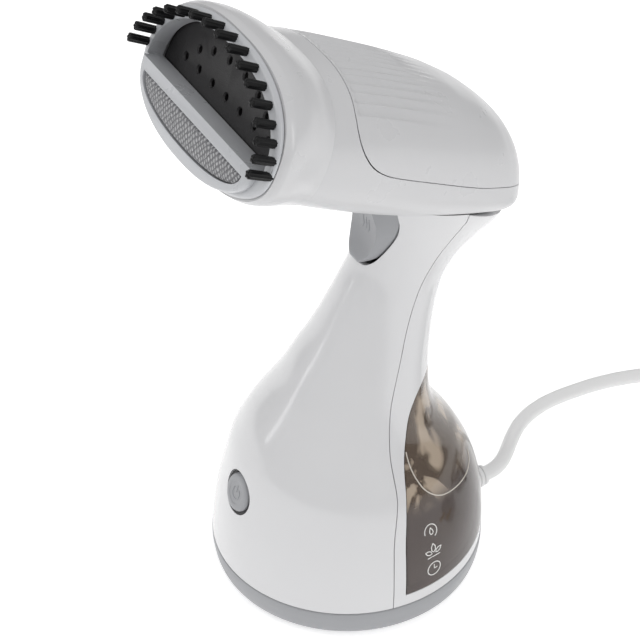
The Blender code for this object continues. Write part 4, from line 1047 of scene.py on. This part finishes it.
def stage():
    mesh = bpy.data.meshes.new("floor")
    size = 4.0
    mesh.from_pydata([(-size, -size, 0), (size, -size, 0), (size, size, 0), (-size, size, 0)],
                     [], [(0, 1, 2, 3)])
    mat, tree, shader = new_material("floor_white")
    cloud = noise(tree, 2.0, 2.0)
    tint(tree, shader, cloud.outputs["Fac"], (0.93, 0.93, 0.93), (0.95, 0.95, 0.95))
    shader.inputs["Roughness"].default_value = 0.6
    shader.inputs["Specular IOR Level"].default_value = 0.2
    shader.inputs["Emission Color"].default_value = (1, 1, 1, 1)
    shader.inputs["Emission Strength"].default_value = FLOOR_GLOW
    mesh.materials.append(mat)
    floor = bpy.data.objects.new("floor", mesh)
    floor.location.z = -0.0002
    bpy.context.collection.objects.link(floor)
    studio_light()


def studio_light():
    """Bright above and darker near the horizon, with soft boxes in front and to the right."""
    world = bpy.data.worlds.new("studio")
    bpy.context.scene.world = world
    world.use_nodes = True
    tree = world.node_tree
    where = add(tree, "ShaderNodeTexCoord")
    split = add(tree, "ShaderNodeSeparateXYZ")
    level = add(tree, "ShaderNodeMapRange", interpolation_type='SMOOTHSTEP')
    level.inputs["From Min"].default_value, level.inputs["From Max"].default_value = -0.05, 0.75
    level.inputs["To Min"].default_value, level.inputs["To Max"].default_value = SKY
    tree.links.new(where.outputs["Generated"], split.inputs["Vector"])
    tree.links.new(split.outputs["Z"], level.inputs["Value"])
    tree.links.new(level.outputs["Result"], tree.nodes["Background"].inputs["Strength"])
    tree.nodes["Background"].inputs["Color"].default_value = (1, 1, 1, 1)
    for name, place, aim, size, power in LAMPS:
        data = bpy.data.lights.new(name, 'AREA')
        data.shape, data.size, data.size_y, data.energy = 'RECTANGLE', size[0], size[1], power
        lamp = bpy.data.objects.new(name, data)
        bpy.context.collection.objects.link(lamp)
        lamp.location = place
        lamp.rotation_euler = (Vector(aim) - Vector(place)).to_track_quat('-Z', 'Y').to_euler()
    bpy.context.scene.view_settings.view_transform = 'Standard'


camera()
finish_nodes()
cord()
stage()
foot()
shells()
tank()
power_button()
trigger()
head()
plate()
attachment()
